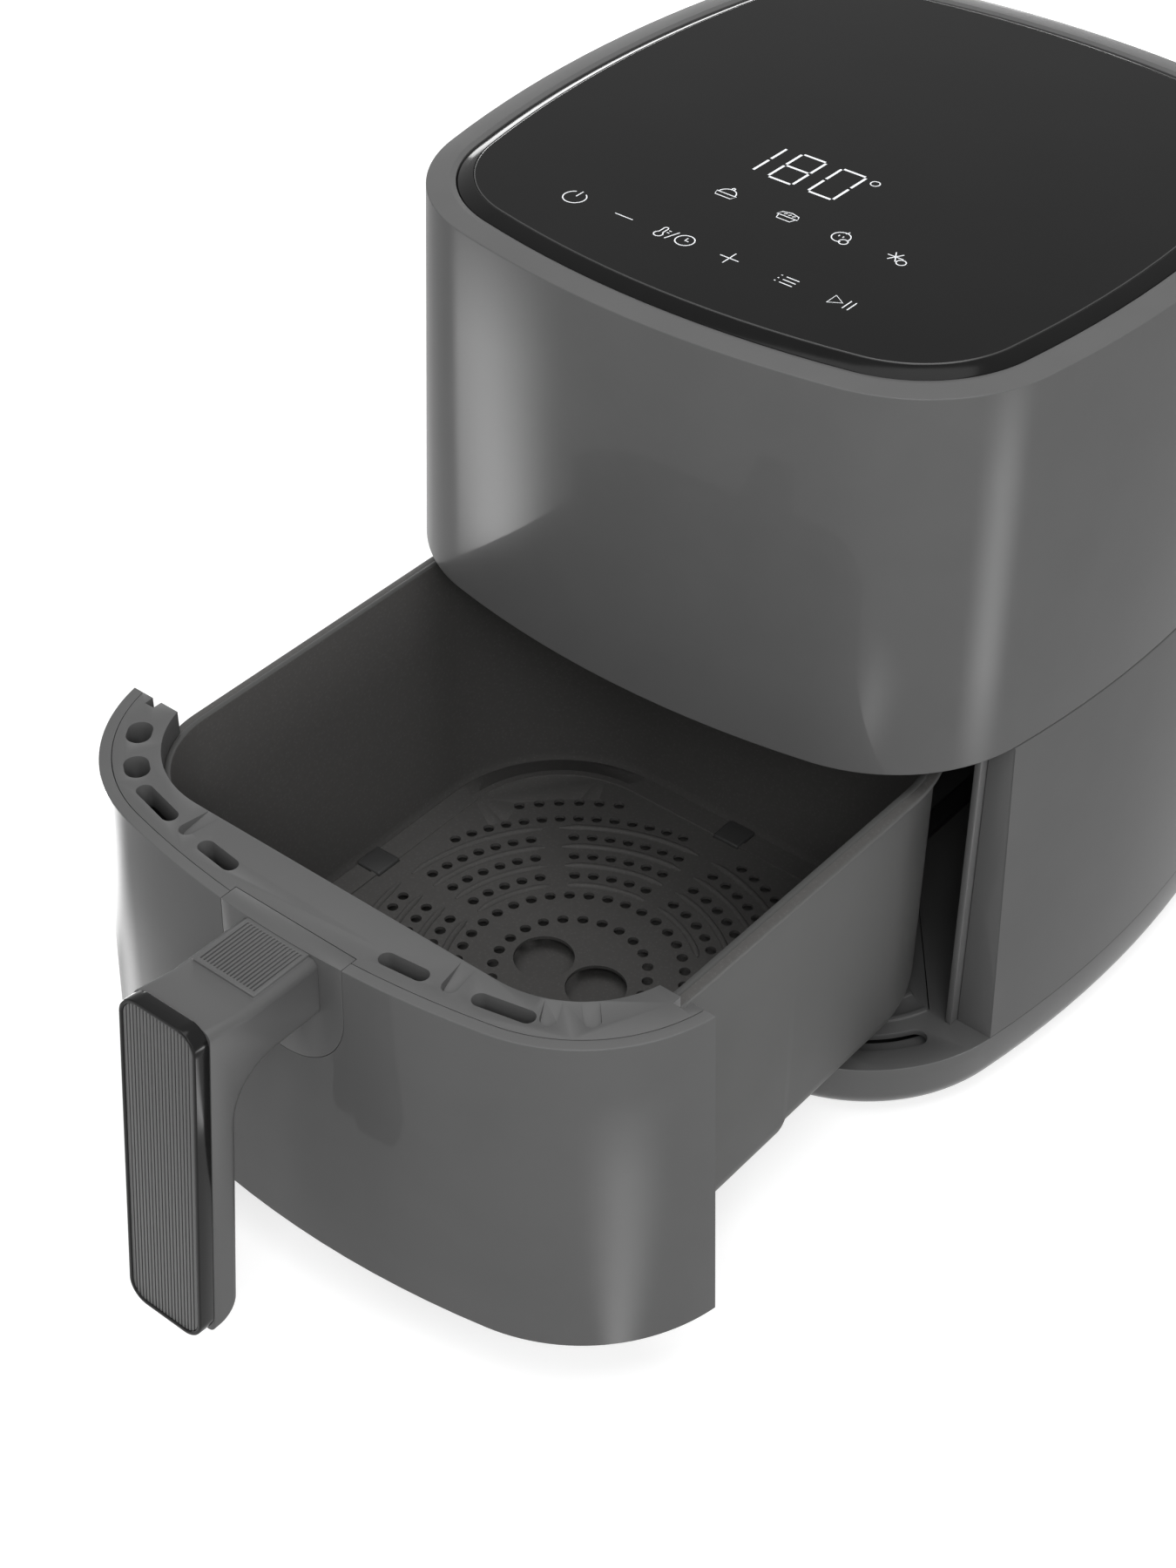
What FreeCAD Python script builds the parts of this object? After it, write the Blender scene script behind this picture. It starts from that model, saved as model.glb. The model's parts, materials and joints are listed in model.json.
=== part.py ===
import FreeCAD, Part
import math
import os
import Sketcher

V = FreeCAD.Vector
C = Sketcher.Constraint
doc = FreeCAD.newDocument("air_fryer")

# Driving dimensions in millimetres.
# Plan sizes are taken from the middle of the body, levels from the worktop.
DIMENSIONS = (
    # plan of the body at the lip, and the slope of its walls
    ("half_width", 140.0),
    ("half_depth", 146.9),
    ("front_radius", 390.4),
    ("side_radius", 481.8),
    ("corner_radius", 63.9),
    ("draft_slope", 0.035),
    # heights, from the worktop upwards
    ("foot_height", 2.5),
    ("base_height", 22.6),
    ("drawer_gap", 1.2),
    ("drawer_height", 143.2),
    ("upper_height", 154.4),
    ("lip_rise", 0.8),
    ("panel_rise", 2.7),
    # housing walls, lip and panel
    ("house_wall", 2.6),
    ("fit_gap", 0.3),
    ("seam_gap", 0.5),
    ("lip_width", 11.0),
    ("lip_thickness", 3.0),
    ("panel_inset", 17.5),
    ("bezel_depth", 6.0),
    ("bezel_ledge", 5.0),
    ("glass_thickness", 3.0),
    ("carrier_thickness", 2.5),
    ("board_length", 150.0),
    ("board_width", 96.0),
    ("board_thickness", 1.6),
    ("display_length", 62.0),
    ("display_width", 30.0),
    # base
    ("base_round", 9.5),
    ("base_plate", 3.0),
    ("skirt_width", 13.0),
    ("cover_lift", 0.5),
    ("cover_thickness", 2.5),
    ("cover_slot_length", 60.0),
    ("cover_slot_width", 4.0),
    ("cover_slot_pitch", 10.0),
    ("cover_slots", 9),
    ("foot_radius", 9.0),
    ("foot_margin_x", 40.0),
    ("foot_margin_y", 41.9),
    ("air_slot_inset", 15.4),
    ("air_slot_width", 8.4),
    ("air_slot_near", 31.5),
    ("air_slot_far", 62.0),
    ("rib_inset", 27.4),
    ("rib_spacing", 10.6),
    ("rib_near", 20.0),
    ("rib_thickness", 2.4),
    ("rib_height", 1.0),
    # drawer opening
    ("opening_depth", 58.7),
    ("web_thickness", 2.6),
    ("liner_space", 4.2),
    ("liner_thickness", 3.0),
    ("liner_corner", 76.0),
    ("liner_nose", 4.0),
    ("runner_x", 48.0),
    ("runner_width", 8.0),
    ("runner_rear_margin", 36.9),
    # drawer
    ("drawer_kept", 116.24),
    ("end_gap", 1.0),
    ("front_wall", 4.5),
    ("flange_height", 10.0),
    ("flange_reach", 2.6),
    ("vent_inset", 13.3),
    ("vent_width", 6.4),
    ("vent_hole_length", 12.5),
    ("vent_hole_width", 9.4),
    ("pocket_width", 6.2),
    ("pocket_length", 20.0),
    ("pocket_inset", 12.0),
    ("pocket_depth", 4.5),
    ("front_rise", 13.2),
    ("corner_rise", 10.2),
    ("flange_web", 2.0),
    ("notch_gap", 0.7),
    ("notch_depth", 4.0),
    # basket
    ("basket_side_margin", 27.0),
    ("basket_front_margin", 27.9),
    ("basket_rear_margin", 29.9),
    ("front_corner", 42.0),
    ("rear_corner", 62.0),
    ("basket_slope", 0.0087),
    ("basket_wall", 2.0),
    ("basket_lift", 4.9),
    ("basket_round", 14.0),
    ("pan_drop", 3.6),
    ("pan_end", 10.0),
    ("pan_width", 24.0),
    ("rim_width", 6.2),
    ("rim_height", 3.0),
    # crisper plate
    ("crisper_lift", 6.7),
    ("crisper_thickness", 1.6),
    ("crisper_gap", 2.2),
    ("ridge_inset", 8.0),
    ("ridge_width", 3.0),
    ("ridge_height", 0.8),
    ("crisper_hole", 2.3),
    ("finger_hole", 12.4),
    ("finger_spacing", 13.5),
    ("ring_first", 31.3),
    ("ring_second", 45.9),
    ("ring_third", 58.1),
    ("ring_fourth", 70.3),
    ("ring_fifth", 82.3),
    ("ring_sixth", 94.5),
    ("ring_seventh", 104.9),
    ("corner_heading", 50.0),
    ("bumper_width", 13.0),
    ("bumper_length", 12.0),
    ("bumper_rise", 1.5),
    ("bumper_gap", 0.1),
    # handle
    ("mount_half", 28.2),
    ("mount_drop", 23.5),
    ("mount_thickness", 8.2),
    ("handle_half", 18.0),
    ("handle_lift", 8.7),
    ("handle_rise", 4.0),
    ("handle_out", 70.25),
    ("handle_lean", 0.104),
    ("grip_depth", 19.3),
    ("frame_depth", 6.7),
    ("frame_corner", 8.5),
    ("frame_width", 1.7),
    ("insert_depth", 2.4),
    ("insert_thickness", 2.0),
    ("insert_gap", 0.15),
    ("groove_width", 0.5),
    ("groove_depth", 0.6),
    ("groove_count", 19),
    ("neck_height", 26.4),
    ("neck_drop", 1.3),
    ("neck_round", 20.0),
    ("grip_round", 10.0),
    ("edge_round", 3.5),
    ("thumb_margin", 1.6),
    ("thumb_length", 22.5),
    ("thumb_border", 2.0),
    ("thumb_height", 1.1),
    ("thumb_grooves", 17),
    ("thumb_pitch", 1.55),
    ("thumb_groove_width", 0.75),
    ("thumb_groove_depth", 0.8),
    ("screw_radius", 1.9),
    ("screw_head", 3.8),
    ("screw_head_height", 2.4),
    ("screw_gap", 0.15),
    ("handle_screw_x", 9.0),
    ("handle_screw_length", 22.0),
    # heating chamber
    ("mid_lift", 1.0),
    ("mid_thickness", 3.0),
    ("chamber_radius", 114.0),
    ("motor_space", 92.4),
    ("chamber_wall", 1.0),
    ("chamber_flange", 6.0),
    ("chamber_lip", 4.0),
    ("heater_radius", 96.0),
    ("heater_step", 8.0),
    ("heater_tube", 3.3),
    ("heater_lift", 16.0),
    ("heater_bend", 10.0),
    ("bracket_length", 26.0),
    ("bracket_width", 8.0),
    ("bracket_thickness", 1.6),
    # rotor and motor
    ("shaft_radius", 4.0),
    ("run_gap", 0.05),
    ("shaft_hole", 6.0),
    ("fan_radius", 62.0),
    ("fan_drop", 10.0),
    ("fan_disc", 1.2),
    ("fan_hub", 9.0),
    ("fan_hub_height", 14.0),
    ("blade_start", 22.0),
    ("blade_height", 20.0),
    ("blade_thickness", 1.2),
    ("blade_count", 10),
    ("cooler_radius", 42.0),
    ("cooler_lift", 8.0),
    ("cooler_blade", 16.0),
    ("motor_radius", 28.0),
    ("motor_height", 34.0),
    ("bracket_lift", 36.0),
    ("bridge_length", 124.0),
    ("bridge_width", 72.0),
    ("bridge_thickness", 2.0),
    ("leg_radius", 4.0),
    ("leg_x", 52.0),
    ("leg_y", 28.0),
    ("shaft_top", 6.0),
    # air outlet
    ("vent_half", 42.0),
    ("vent_drop", 20.7),
    ("vent_height", 46.0),
    ("slat_gap", 4.0),
    ("slat_pitch", 8.0),
    ("slat_count", 5),
    ("slat_margin", 6.0),
    ("duct_wall", 1.2),
    ("duct_gap", 3.5),
    # boards, sensors, switch, inlet
    ("mains_length", 44.0),
    ("mains_width", 76.0),
    ("mains_x", 62.0),
    ("post_height", 8.0),
    ("post_radius", 3.0),
    ("post_margin", 5.0),
    ("sensor_radius", 3.0),
    ("sensor_height", 10.0),
    ("fuse_radius", 2.5),
    ("fuse_length", 14.0),
    ("sensor_x", 74.0),
    ("sensor_y", 26.0),
    ("switch_x", 30.0),
    ("switch_width", 20.0),
    ("switch_depth", 10.0),
    ("switch_gap", 0.8),
    ("switch_height", 18.0),
    ("plunger_radius", 2.0),
    ("plunger_out", 3.6),
    ("plunger_in", 5.0),
    ("plunger_travel", 2.0),
    ("plunger_rest", 0.4),
    ("gland_lift", 19.9),
    ("gland_radius", 7.0),
    ("gland_bore", 3.5),
    ("gland_out", 4.5),
    ("gland_length", 14.0),
    # screws of the housing
    ("boss_radius", 5.0),
    ("base_boss_x", 66.0),
    ("base_boss_margin", 34.9),
    ("shell_boss_side", 43.59),
    ("shell_boss_back", 44.12),
    ("boss_web", 3.0),
    ("boss_web_length", 20.0),
    ("shell_screw_length", 16.0),
    ("base_screw_length", 14.0),
)

# Levels and places worked out from the driving dimensions.
DERIVED = (
    ("base_low", "foot_height"),
    ("base_under", "base_low - 1"),
    ("base_top", "foot_height + base_height"),
    ("base_ceiling", "base_top - base_plate"),
    ("base_over", "base_top + 1"),
    ("rib_top", "base_top + rib_height"),
    ("cover_low", "base_low + cover_lift"),
    ("cover_high", "cover_low + cover_thickness"),
    ("drawer_low", "base_top + drawer_gap"),
    ("drawer_top", "drawer_low + drawer_height"),
    ("drawer_under", "drawer_low - 1"),
    ("drawer_over", "drawer_top + 1"),
    ("upper_low", "drawer_top + drawer_gap"),
    ("upper_under", "upper_low - 1"),
    ("upper_top", "upper_low + upper_height"),
    ("upper_roof", "upper_top - lip_thickness"),
    ("roof_under", "upper_roof - 1"),
    ("lip_top", "upper_top + lip_rise"),
    ("panel_top", "upper_top + panel_rise"),
    ("panel_over", "panel_top + 1"),
    ("bezel_low", "upper_top - bezel_depth"),
    ("bezel_under", "bezel_low - 1"),
    ("glass_low", "panel_top - glass_thickness"),
    ("carrier_low", "bezel_low - carrier_thickness"),
    ("lower_high", "upper_low - seam_gap"),
    ("lower_over", "lower_high + 1"),
    ("rim_top", "drawer_top - flange_height"),
    ("rim_low", "rim_top - rim_height"),
    ("rim_over", "rim_top + 1"),
    ("basket_low", "base_top + basket_lift"),
    ("floor_top", "basket_low + basket_wall"),
    ("pan_low", "basket_low - pan_drop"),
    ("pan_under", "pan_low - 1"),
    ("crisper_low", "floor_top + crisper_lift"),
    ("crisper_top", "crisper_low + crisper_thickness"),
    ("mid_low", "upper_low + mid_lift"),
    ("mid_high", "mid_low + mid_thickness"),
    ("chamber_height", "upper_height - motor_space"),
    ("chamber_top", "mid_high + chamber_height"),
    ("heater_level", "mid_high + heater_lift"),
    ("fan_level", "chamber_top - chamber_wall - fan_drop"),
    ("bridge_low", "chamber_top + bracket_lift"),
    ("motor_low", "bridge_low + bridge_thickness"),
    ("front_face", "half_depth + draft_slope * (upper_top - drawer_top)"),
    ("handle_low", "drawer_low + handle_lift"),
    ("handle_high", "drawer_top + handle_rise"),
    ("handle_reach", "front_face + handle_out"),
    ("neck_low", "drawer_top - neck_height"),
    ("thumb_start", "front_face + thumb_margin"),
    ("chamber_mouth", "chamber_radius - chamber_lip"),
    ("vent_low", "chamber_top - vent_drop"),
    ("gland_level", "base_top + gland_lift"),
    ("foot_x", "half_width - foot_margin_x"),
    ("foot_y", "half_depth - foot_margin_y"),
    ("base_boss_y", "half_depth - base_boss_margin"),
    ("side_centre", "half_width - side_radius"),
    ("front_centre", "half_depth - front_radius"),
    ("side_reach", "side_radius - corner_radius"),
    ("front_reach", "front_radius - corner_radius"),
    ("centres_apart", "sqrt(side_centre ^ 2 + front_centre ^ 2)"),
    ("corner_along", "(side_reach ^ 2 - front_reach ^ 2 + centres_apart ^ 2) / (2 * centres_apart)"),
    ("corner_across", "sqrt(side_reach ^ 2 - corner_along ^ 2)"),
    ("corner_x", "side_centre - (side_centre * corner_along + front_centre * corner_across) / centres_apart"),
    ("corner_y", "(front_centre * corner_along - side_centre * corner_across) / centres_apart"),
    ("shell_boss_x", "corner_x + shell_boss_side"),
    ("shell_boss_y", "corner_y + shell_boss_back"),
    ("shell_cut", "half_depth - opening_depth"),
    ("drawer_end", "shell_cut + end_gap"),
    ("base_corner", "corner_radius + draft_slope * (upper_top - base_top)"),
    ("air_slot_radius", "base_corner - air_slot_inset"),
    ("outer_rib", "base_corner - rib_inset"),
    ("inner_rib", "outer_rib - rib_spacing"),
    ("runner_end", "half_depth - runner_rear_margin"),
    ("basket_half", "half_width - basket_side_margin"),
    ("basket_front", "half_depth - basket_front_margin"),
    ("runner_start", "basket_front + basket_slope * (pan_low - rim_top) - pan_width - end_gap"),
    ("basket_rear", "half_depth - basket_rear_margin"),
    ("basket_bend", "basket_round - basket_wall"),
    ("bend_rise", "basket_bend - crisper_lift"),
    ("bumper_foot", "bumper_length + crisper_gap - basket_bend"),
    ("bumper_out", "crisper_gap - fit_gap - basket_bend + sqrt(basket_bend ^ 2 - bend_rise ^ 2)"),
    ("pocket_floor", "drawer_top - pocket_depth"),
    ("web_low", "drawer_low + end_gap"),
    ("web_rim_low", "rim_low - fit_gap"),
    ("liner_inner", "basket_half + rim_width + liner_space"),
    ("liner_half", "liner_inner + liner_thickness"),
    ("liner_front", "shell_cut + liner_nose"),
    ("plunger_level", "rim_top - rim_height / 2"),
    ("plunger_tip", "basket_rear + rim_width + plunger_rest"),
    ("switch_front", "plunger_tip + plunger_out"),
    ("liner_rear", "switch_front + switch_depth + switch_gap + liner_thickness"),
    ("joint_reach", "handle_reach - frame_depth"),
    ("rear_reach", "half_depth + draft_slope * (upper_top - gland_level) + gland_out"),
    ("drawer_open", "2 * half_depth - drawer_kept"),
    ("stand_y", "(handle_reach + drawer_open - rear_reach) / 2"),
    ("drawer_y", "stand_y - drawer_open"),
)

sheet = doc.addObject("Spreadsheet::Sheet", "dims")
rows = [(alias, str(value)) for alias, value in DIMENSIONS]
rows += [(alias, "=" + text) for alias, text in DERIVED]
for number, (alias, text) in enumerate(rows, 1):
    sheet.set("A%d" % number, alias)
    sheet.set("B%d" % number, text)
    sheet.setAlias("B%d" % number, alias)
doc.recompute()

pieces = []
raised = {}


def size(alias):
    """Value of one cell of the sheet."""
    return float(sheet.get(alias))


def total(names):
    """Sum of several cells, each with an optional minus sign in front."""
    return sum(-size(name[1:]) if name.startswith("-") else size(name) for name in names)


def less(names):
    """The same sum as text that takes it away in an expression."""
    return "".join(" + dims." + name[1:] if name.startswith("-") else " - dims." + name for name in names)


def bind(item, **formulas):
    """Bind properties of an object to the sheet; two underscores stand for a dot."""
    for path, text in formulas.items():
        item.setExpression(path.replace("__", "."), text)


def seat(sketch, owner, level):
    """Lay a sketch flat at a named level, free or in a body."""
    if owner is None:
        sketch.Placement.Base = V(0, 0, size(level))
        bind(sketch, Placement__Base__z="dims." + level)
        return
    sketch.AttachmentSupport = [(origin(owner, "XY_Plane"), "")]
    sketch.MapMode = "FlatFace"
    bind(sketch, AttachmentOffset__Base__z="dims." + level)


def origin(body, role):
    """One of a body's own origin planes or axes."""
    return [item for item in body.Origin.OriginFeatures if item.Role == role][0]


def new_sketch(name, owner=None):
    """An empty sketch, free or in a body."""
    if owner is None:
        return doc.addObject("Sketcher::SketchObject", name)
    return owner.newObject("Sketcher::SketchObject", name)


def arc(sketch, x, y, radius, start, end):
    """Add one arc of a circle to a sketch."""
    circle = Part.Circle(V(x, y, 0), V(0, 0, 1), radius)
    return sketch.addGeometry(Part.ArcOfCircle(circle, start, end), False)


def hold(sketch, constraint, text):
    """Add a dimension to a sketch and bind it to the sheet."""
    index = sketch.addConstraint(constraint)
    sketch.setExpression("Constraints[%d]" % index, text)


def plan_arcs(grow):
    """Corner centre and the angles at which the plan's arcs meet."""
    side, front = size("side_radius") + grow, size("front_radius") + grow
    corner = size("corner_radius") + grow
    side_x = size("half_width") + grow - side
    front_y = size("half_depth") + grow - front
    reach_side, reach_front = side - corner, front - corner
    apart = math.hypot(side_x, front_y)
    along = (reach_side ** 2 - reach_front ** 2 + apart ** 2) / (2 * apart)
    across = math.sqrt(reach_side ** 2 - along ** 2)
    unit_x, unit_y = -side_x / apart, front_y / apart
    middle_x, middle_y = side_x + unit_x * along, unit_y * along
    choices = [(middle_x - unit_y * k * across, middle_y + unit_x * k * across) for k in (1, -1)]
    x, y = max(choices, key=sum)
    return x, y, math.atan2(y, x - side_x), math.atan2(y - front_y, x)


def plan_grow(level, inset):
    """How far the plan at a level lies outside the plan at the lip."""
    return size("draft_slope") * (size("upper_top") - size(level)) - total(inset)


def add_plan(sketch, level, inset):
    """Draw the body's plan of eight tangent arcs at a level, drawn in by an inset."""
    grow = plan_grow(level, inset)
    text = "dims.draft_slope * (dims.upper_top - dims.%s)%s" % (level, less(inset))
    x, y, low, high = plan_arcs(grow)
    side, front = size("side_radius") + grow, size("front_radius") + grow
    corner = size("corner_radius") + grow
    side_x, front_y = size("half_width") + grow - side, size("half_depth") + grow - front
    half, turn = math.pi, 2 * math.pi
    arcs = (
        arc(sketch, side_x, 0, side, -low, low),
        arc(sketch, x, y, corner, low, high),
        arc(sketch, 0, front_y, front, high, half - high),
        arc(sketch, -x, y, corner, half - high, half - low),
        arc(sketch, -side_x, 0, side, half - low, half + low),
        arc(sketch, -x, -y, corner, half + low, half + high),
        arc(sketch, 0, -front_y, front, half + high, turn - high),
        arc(sketch, x, -y, corner, turn - high, turn - low),
    )
    for index in range(8):
        sketch.addConstraint(C("Tangent", arcs[index], 2, arcs[(index + 1) % 8], 1))
    for index, axis in ((0, -1), (2, -2), (4, -1), (6, -2)):
        sketch.addConstraint(C("PointOnObject", arcs[index], 3, axis))
    names = ("side_radius", "corner_radius", "front_radius", "corner_radius") * 2
    for item, name in zip(arcs, names):
        hold(sketch, C("Radius", item, size(name) + grow), "dims.%s + %s" % (name, text))
    hold(sketch, C("DistanceX", arcs[0], 3, -1, 1, -side_x), "dims.side_radius - dims.half_width")
    hold(sketch, C("DistanceX", -1, 1, arcs[4], 3, -side_x), "dims.side_radius - dims.half_width")
    hold(sketch, C("DistanceY", arcs[2], 3, -1, 1, -front_y), "dims.front_radius - dims.half_depth")
    hold(sketch, C("DistanceY", -1, 1, arcs[6], 3, -front_y), "dims.front_radius - dims.half_depth")


def plan(name, level, inset=(), owner=None):
    """A sketch of the body's plan."""
    sketch = new_sketch(name, owner)
    add_plan(sketch, level, inset)
    seat(sketch, owner, level)
    return sketch


def tub_grow(level, inset):
    """How far the basket's inner plan at a level lies outside its plan at the rim."""
    return -size("basket_slope") * (size("rim_top") - size(level)) - total(inset)


def add_tub(sketch, level, inset):
    """Draw the basket's plan of four sides and four rounded corners."""
    grow = tub_grow(level, inset)
    text = "dims.basket_slope * (dims.%s - dims.rim_top)%s" % (level, less(inset))
    half = size("basket_half") + grow
    front, rear = size("basket_front") + grow, size("basket_rear") + grow
    fore, aft = size("front_corner") + grow, size("rear_corner") + grow
    quarter = math.pi / 2

    def line(x0, y0, x1, y1):
        return sketch.addGeometry(Part.LineSegment(V(x0, y0, 0), V(x1, y1, 0)), False)

    edges = (
        line(half, -front + fore, half, rear - aft),
        arc(sketch, half - aft, rear - aft, aft, 0, quarter),
        line(half - aft, rear, aft - half, rear),
        arc(sketch, aft - half, rear - aft, aft, quarter, 2 * quarter),
        line(-half, rear - aft, -half, -front + fore),
        arc(sketch, fore - half, fore - front, fore, 2 * quarter, 3 * quarter),
        line(fore - half, -front, half - fore, -front),
        arc(sketch, half - fore, fore - front, fore, 3 * quarter, 4 * quarter),
    )
    for index in range(8):
        sketch.addConstraint(C("Tangent", edges[index], 2, edges[(index + 1) % 8], 1))
    for index, kind in ((0, "Vertical"), (4, "Vertical"), (2, "Horizontal")):
        sketch.addConstraint(C(kind, edges[index]))
    for index, name in ((1, "rear_corner"), (3, "rear_corner"), (5, "front_corner"), (7, "front_corner")):
        hold(sketch, C("Radius", edges[index], size(name) + grow), "dims.%s + %s" % (name, text))
    hold(sketch, C("DistanceX", -1, 1, edges[0], 1, half), "dims.basket_half + " + text)
    hold(sketch, C("DistanceX", edges[4], 1, -1, 1, half), "dims.basket_half + " + text)
    hold(sketch, C("DistanceY", -1, 1, edges[2], 1, rear), "dims.basket_rear + " + text)
    hold(sketch, C("DistanceY", edges[6], 1, -1, 1, front), "dims.basket_front + " + text)


def tub(name, level, inset=(), owner=None):
    """A sketch of the basket's plan."""
    sketch = new_sketch(name, owner)
    add_tub(sketch, level, inset)
    seat(sketch, owner, level)
    return sketch


def loft(name, lower, upper):
    """A straight-sided solid between two sketches."""
    item = doc.addObject("Part::Loft", name)
    item.Sections = [lower, upper]
    item.Solid = True
    item.Ruled = True
    return item


def walls(name, low, high, inset=(), inset_high=None):
    """The body's drafted solid between two levels."""
    upper_inset = inset if inset_high is None else inset_high
    return loft(name, plan(name + "_low", low, inset), plan(name + "_high", high, upper_inset))


def tub_walls(name, low, high, inset=()):
    """The basket's drafted solid between two levels."""
    return loft(name, tub(name + "_low", low, inset), tub(name + "_high", high, inset))


def box(name, place, extent):
    """A block with its low corner and its extents bound to the sheet."""
    item = doc.addObject("Part::Box", name)
    bind(item, Length=extent[0], Width=extent[1], Height=extent[2])
    bind(item, Placement__Base__x=place[0], Placement__Base__y=place[1], Placement__Base__z=place[2])
    raised[item.Name] = place[1]
    return item


def cylinder(name, place, radius, length, along=V(0, 0, 1)):
    """A cylinder from a place along a direction."""
    item = doc.addObject("Part::Cylinder", name)
    item.Placement.Rotation = FreeCAD.Rotation(V(0, 0, 1), along)
    bind(item, Radius=radius, Height=length)
    bind(item, Placement__Base__x=place[0], Placement__Base__y=place[1], Placement__Base__z=place[2])
    raised[item.Name] = place[1]
    return item


def cut(name, base, *tools):
    """A solid with tools taken away one after another."""
    for number, tool in enumerate(tools, 1):
        item = doc.addObject("Part::Cut", name if number == len(tools) else "%s_%d" % (name, number))
        item.Base = base
        item.Tool = tool
        base = item
    return base


def common(name, first, second):
    """What two solids share."""
    item = doc.addObject("Part::Common", name)
    item.Base = first
    item.Tool = second
    return item


def fuse(name, *items):
    """Solids joined into one."""
    item = doc.addObject("Part::MultiFuse", name)
    item.Shapes = list(items)
    item.Refine = True
    return item


def group(name, items):
    """Separate solids kept together as one sub-part."""
    item = doc.addObject("Part::Compound", name)
    item.Links = list(items)
    return item


def prism(name, sketch, length, symmetric=False):
    """A sketch drawn out along its normal."""
    item = doc.addObject("Part::Extrusion", name)
    item.Base = sketch
    item.DirMode = "Normal"
    item.Solid = True
    item.Symmetric = symmetric
    bind(item, LengthFwd=length)
    return item


def new_body(name):
    """An empty body."""
    return doc.addObject("PartDesign::Body", name)


def feature(body, kind, name, sketch, **formulas):
    """A sketch-based feature of a body."""
    item = body.newObject("PartDesign::" + kind, name)
    item.Profile = sketch
    bind(item, **formulas)
    return item


def on_plane(body, name, role, offset=None):
    """A sketch on one of a body's own origin planes, lifted off it by an expression."""
    sketch = new_sketch(name, body)
    sketch.AttachmentSupport = [(origin(body, role), "")]
    sketch.MapMode = "FlatFace"
    if offset:
        bind(sketch, AttachmentOffset__Base__z=offset)
    return sketch


def circle_in(sketch, radius, x="0", y="0"):
    """A circle whose radius and centre are bound to the sheet by the names of cells."""
    value = [size(name) if name != "0" else 0.0 for name in (radius, x, y)]
    item = sketch.addGeometry(Part.Circle(V(value[1], value[2], 0), V(0, 0, 1), value[0]), False)
    hold(sketch, C("Radius", item, value[0]), "dims." + radius)
    if x == "0" and y == "0":
        sketch.addConstraint(C("Coincident", item, 3, -1, 1))
    return item


def polygon_in(sketch, points):
    """A closed outline of straight edges."""
    for first, second in zip(points, points[1:] + points[:1]):
        sketch.addGeometry(Part.LineSegment(V(first[0], first[1], 0), V(second[0], second[1], 0)), False)


def rectangle_in(sketch, left, right, low, high):
    """A rectangle."""
    polygon_in(sketch, [(left, low), (right, low), (right, high), (left, high)])


def rounded_in(sketch, half, low, high, radius):
    """An upright rectangle with rounded corners, even about the middle."""
    quarter = math.pi / 2

    def line(x0, y0, x1, y1):
        sketch.addGeometry(Part.LineSegment(V(x0, y0, 0), V(x1, y1, 0)), False)

    line(half, low + radius, half, high - radius)
    arc(sketch, half - radius, high - radius, radius, 0, quarter)
    line(half - radius, high, radius - half, high)
    arc(sketch, radius - half, high - radius, radius, quarter, 2 * quarter)
    line(-half, high - radius, -half, low + radius)
    arc(sketch, radius - half, low + radius, radius, 2 * quarter, 3 * quarter)
    line(radius - half, low, half - radius, low)
    arc(sketch, half - radius, low + radius, radius, 3 * quarter, 4 * quarter)


def rounded_edges(name, base, radius, chosen):
    """A fillet on the edges that a test chooses."""
    doc.recompute()
    item = doc.addObject("Part::Fillet", name)
    item.Base = base
    edges = enumerate(base.Shape.Edges, 1)
    item.Edges = [(number, size(radius), size(radius)) for number, edge in edges if chosen(edge)]
    return item


def finish(item, label, shift):
    """Name a sub-part and set its place in the shared frame."""
    item.Label = label
    own = raised.get(item.Name)
    bind(item, Placement__Base__y="dims.%s" % shift if own is None else "%s + dims.%s" % (own, shift))
    pieces.append(item)


def fixed(item, label):
    """A sub-part of the housing or of what turns in it."""
    finish(item, label, "stand_y")


def pulled(item, label):
    """A sub-part that rides on the pulled-out drawer."""
    finish(item, label, "drawer_y")


def screw(name, x, y, level, length, up=1):
    """A round-headed screw whose shank starts at a level and runs up or down."""
    along = V(0, 0, up)
    shank = cylinder(name + "_shank", (x, y, level), "dims.screw_radius", length, along)
    head = cylinder(name + "_head", (x, y, level), "dims.screw_head", "dims.screw_head_height", along * -1)
    return fuse(name, shank, head)


def screw_hole(name, x, y, level, length):
    """The clearance hole of a screw."""
    return cylinder(name, (x, y, level), "dims.screw_radius + dims.screw_gap", length)


def bent_slot_in(sketch, side, radius, width, near, far):
    """A slot with round ends, bent round a front corner between two angles from the side."""
    middle, half = size(radius), size(width) / 2
    x, y = side * size("corner_x"), -size("corner_y")
    start, end = math.radians(-size(far)), math.radians(-size(near))
    if side < 0:
        start, end = math.pi - end, math.pi - start
    for reach in (middle + half, middle - half):
        arc(sketch, x, y, reach, start, end)
    for angle, turn in ((end, 0.0), (start, math.pi)):
        place_x, place_y = x + middle * math.cos(angle), y + middle * math.sin(angle)
        arc(sketch, place_x, place_y, half, angle + turn, angle + turn + math.pi)


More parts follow.
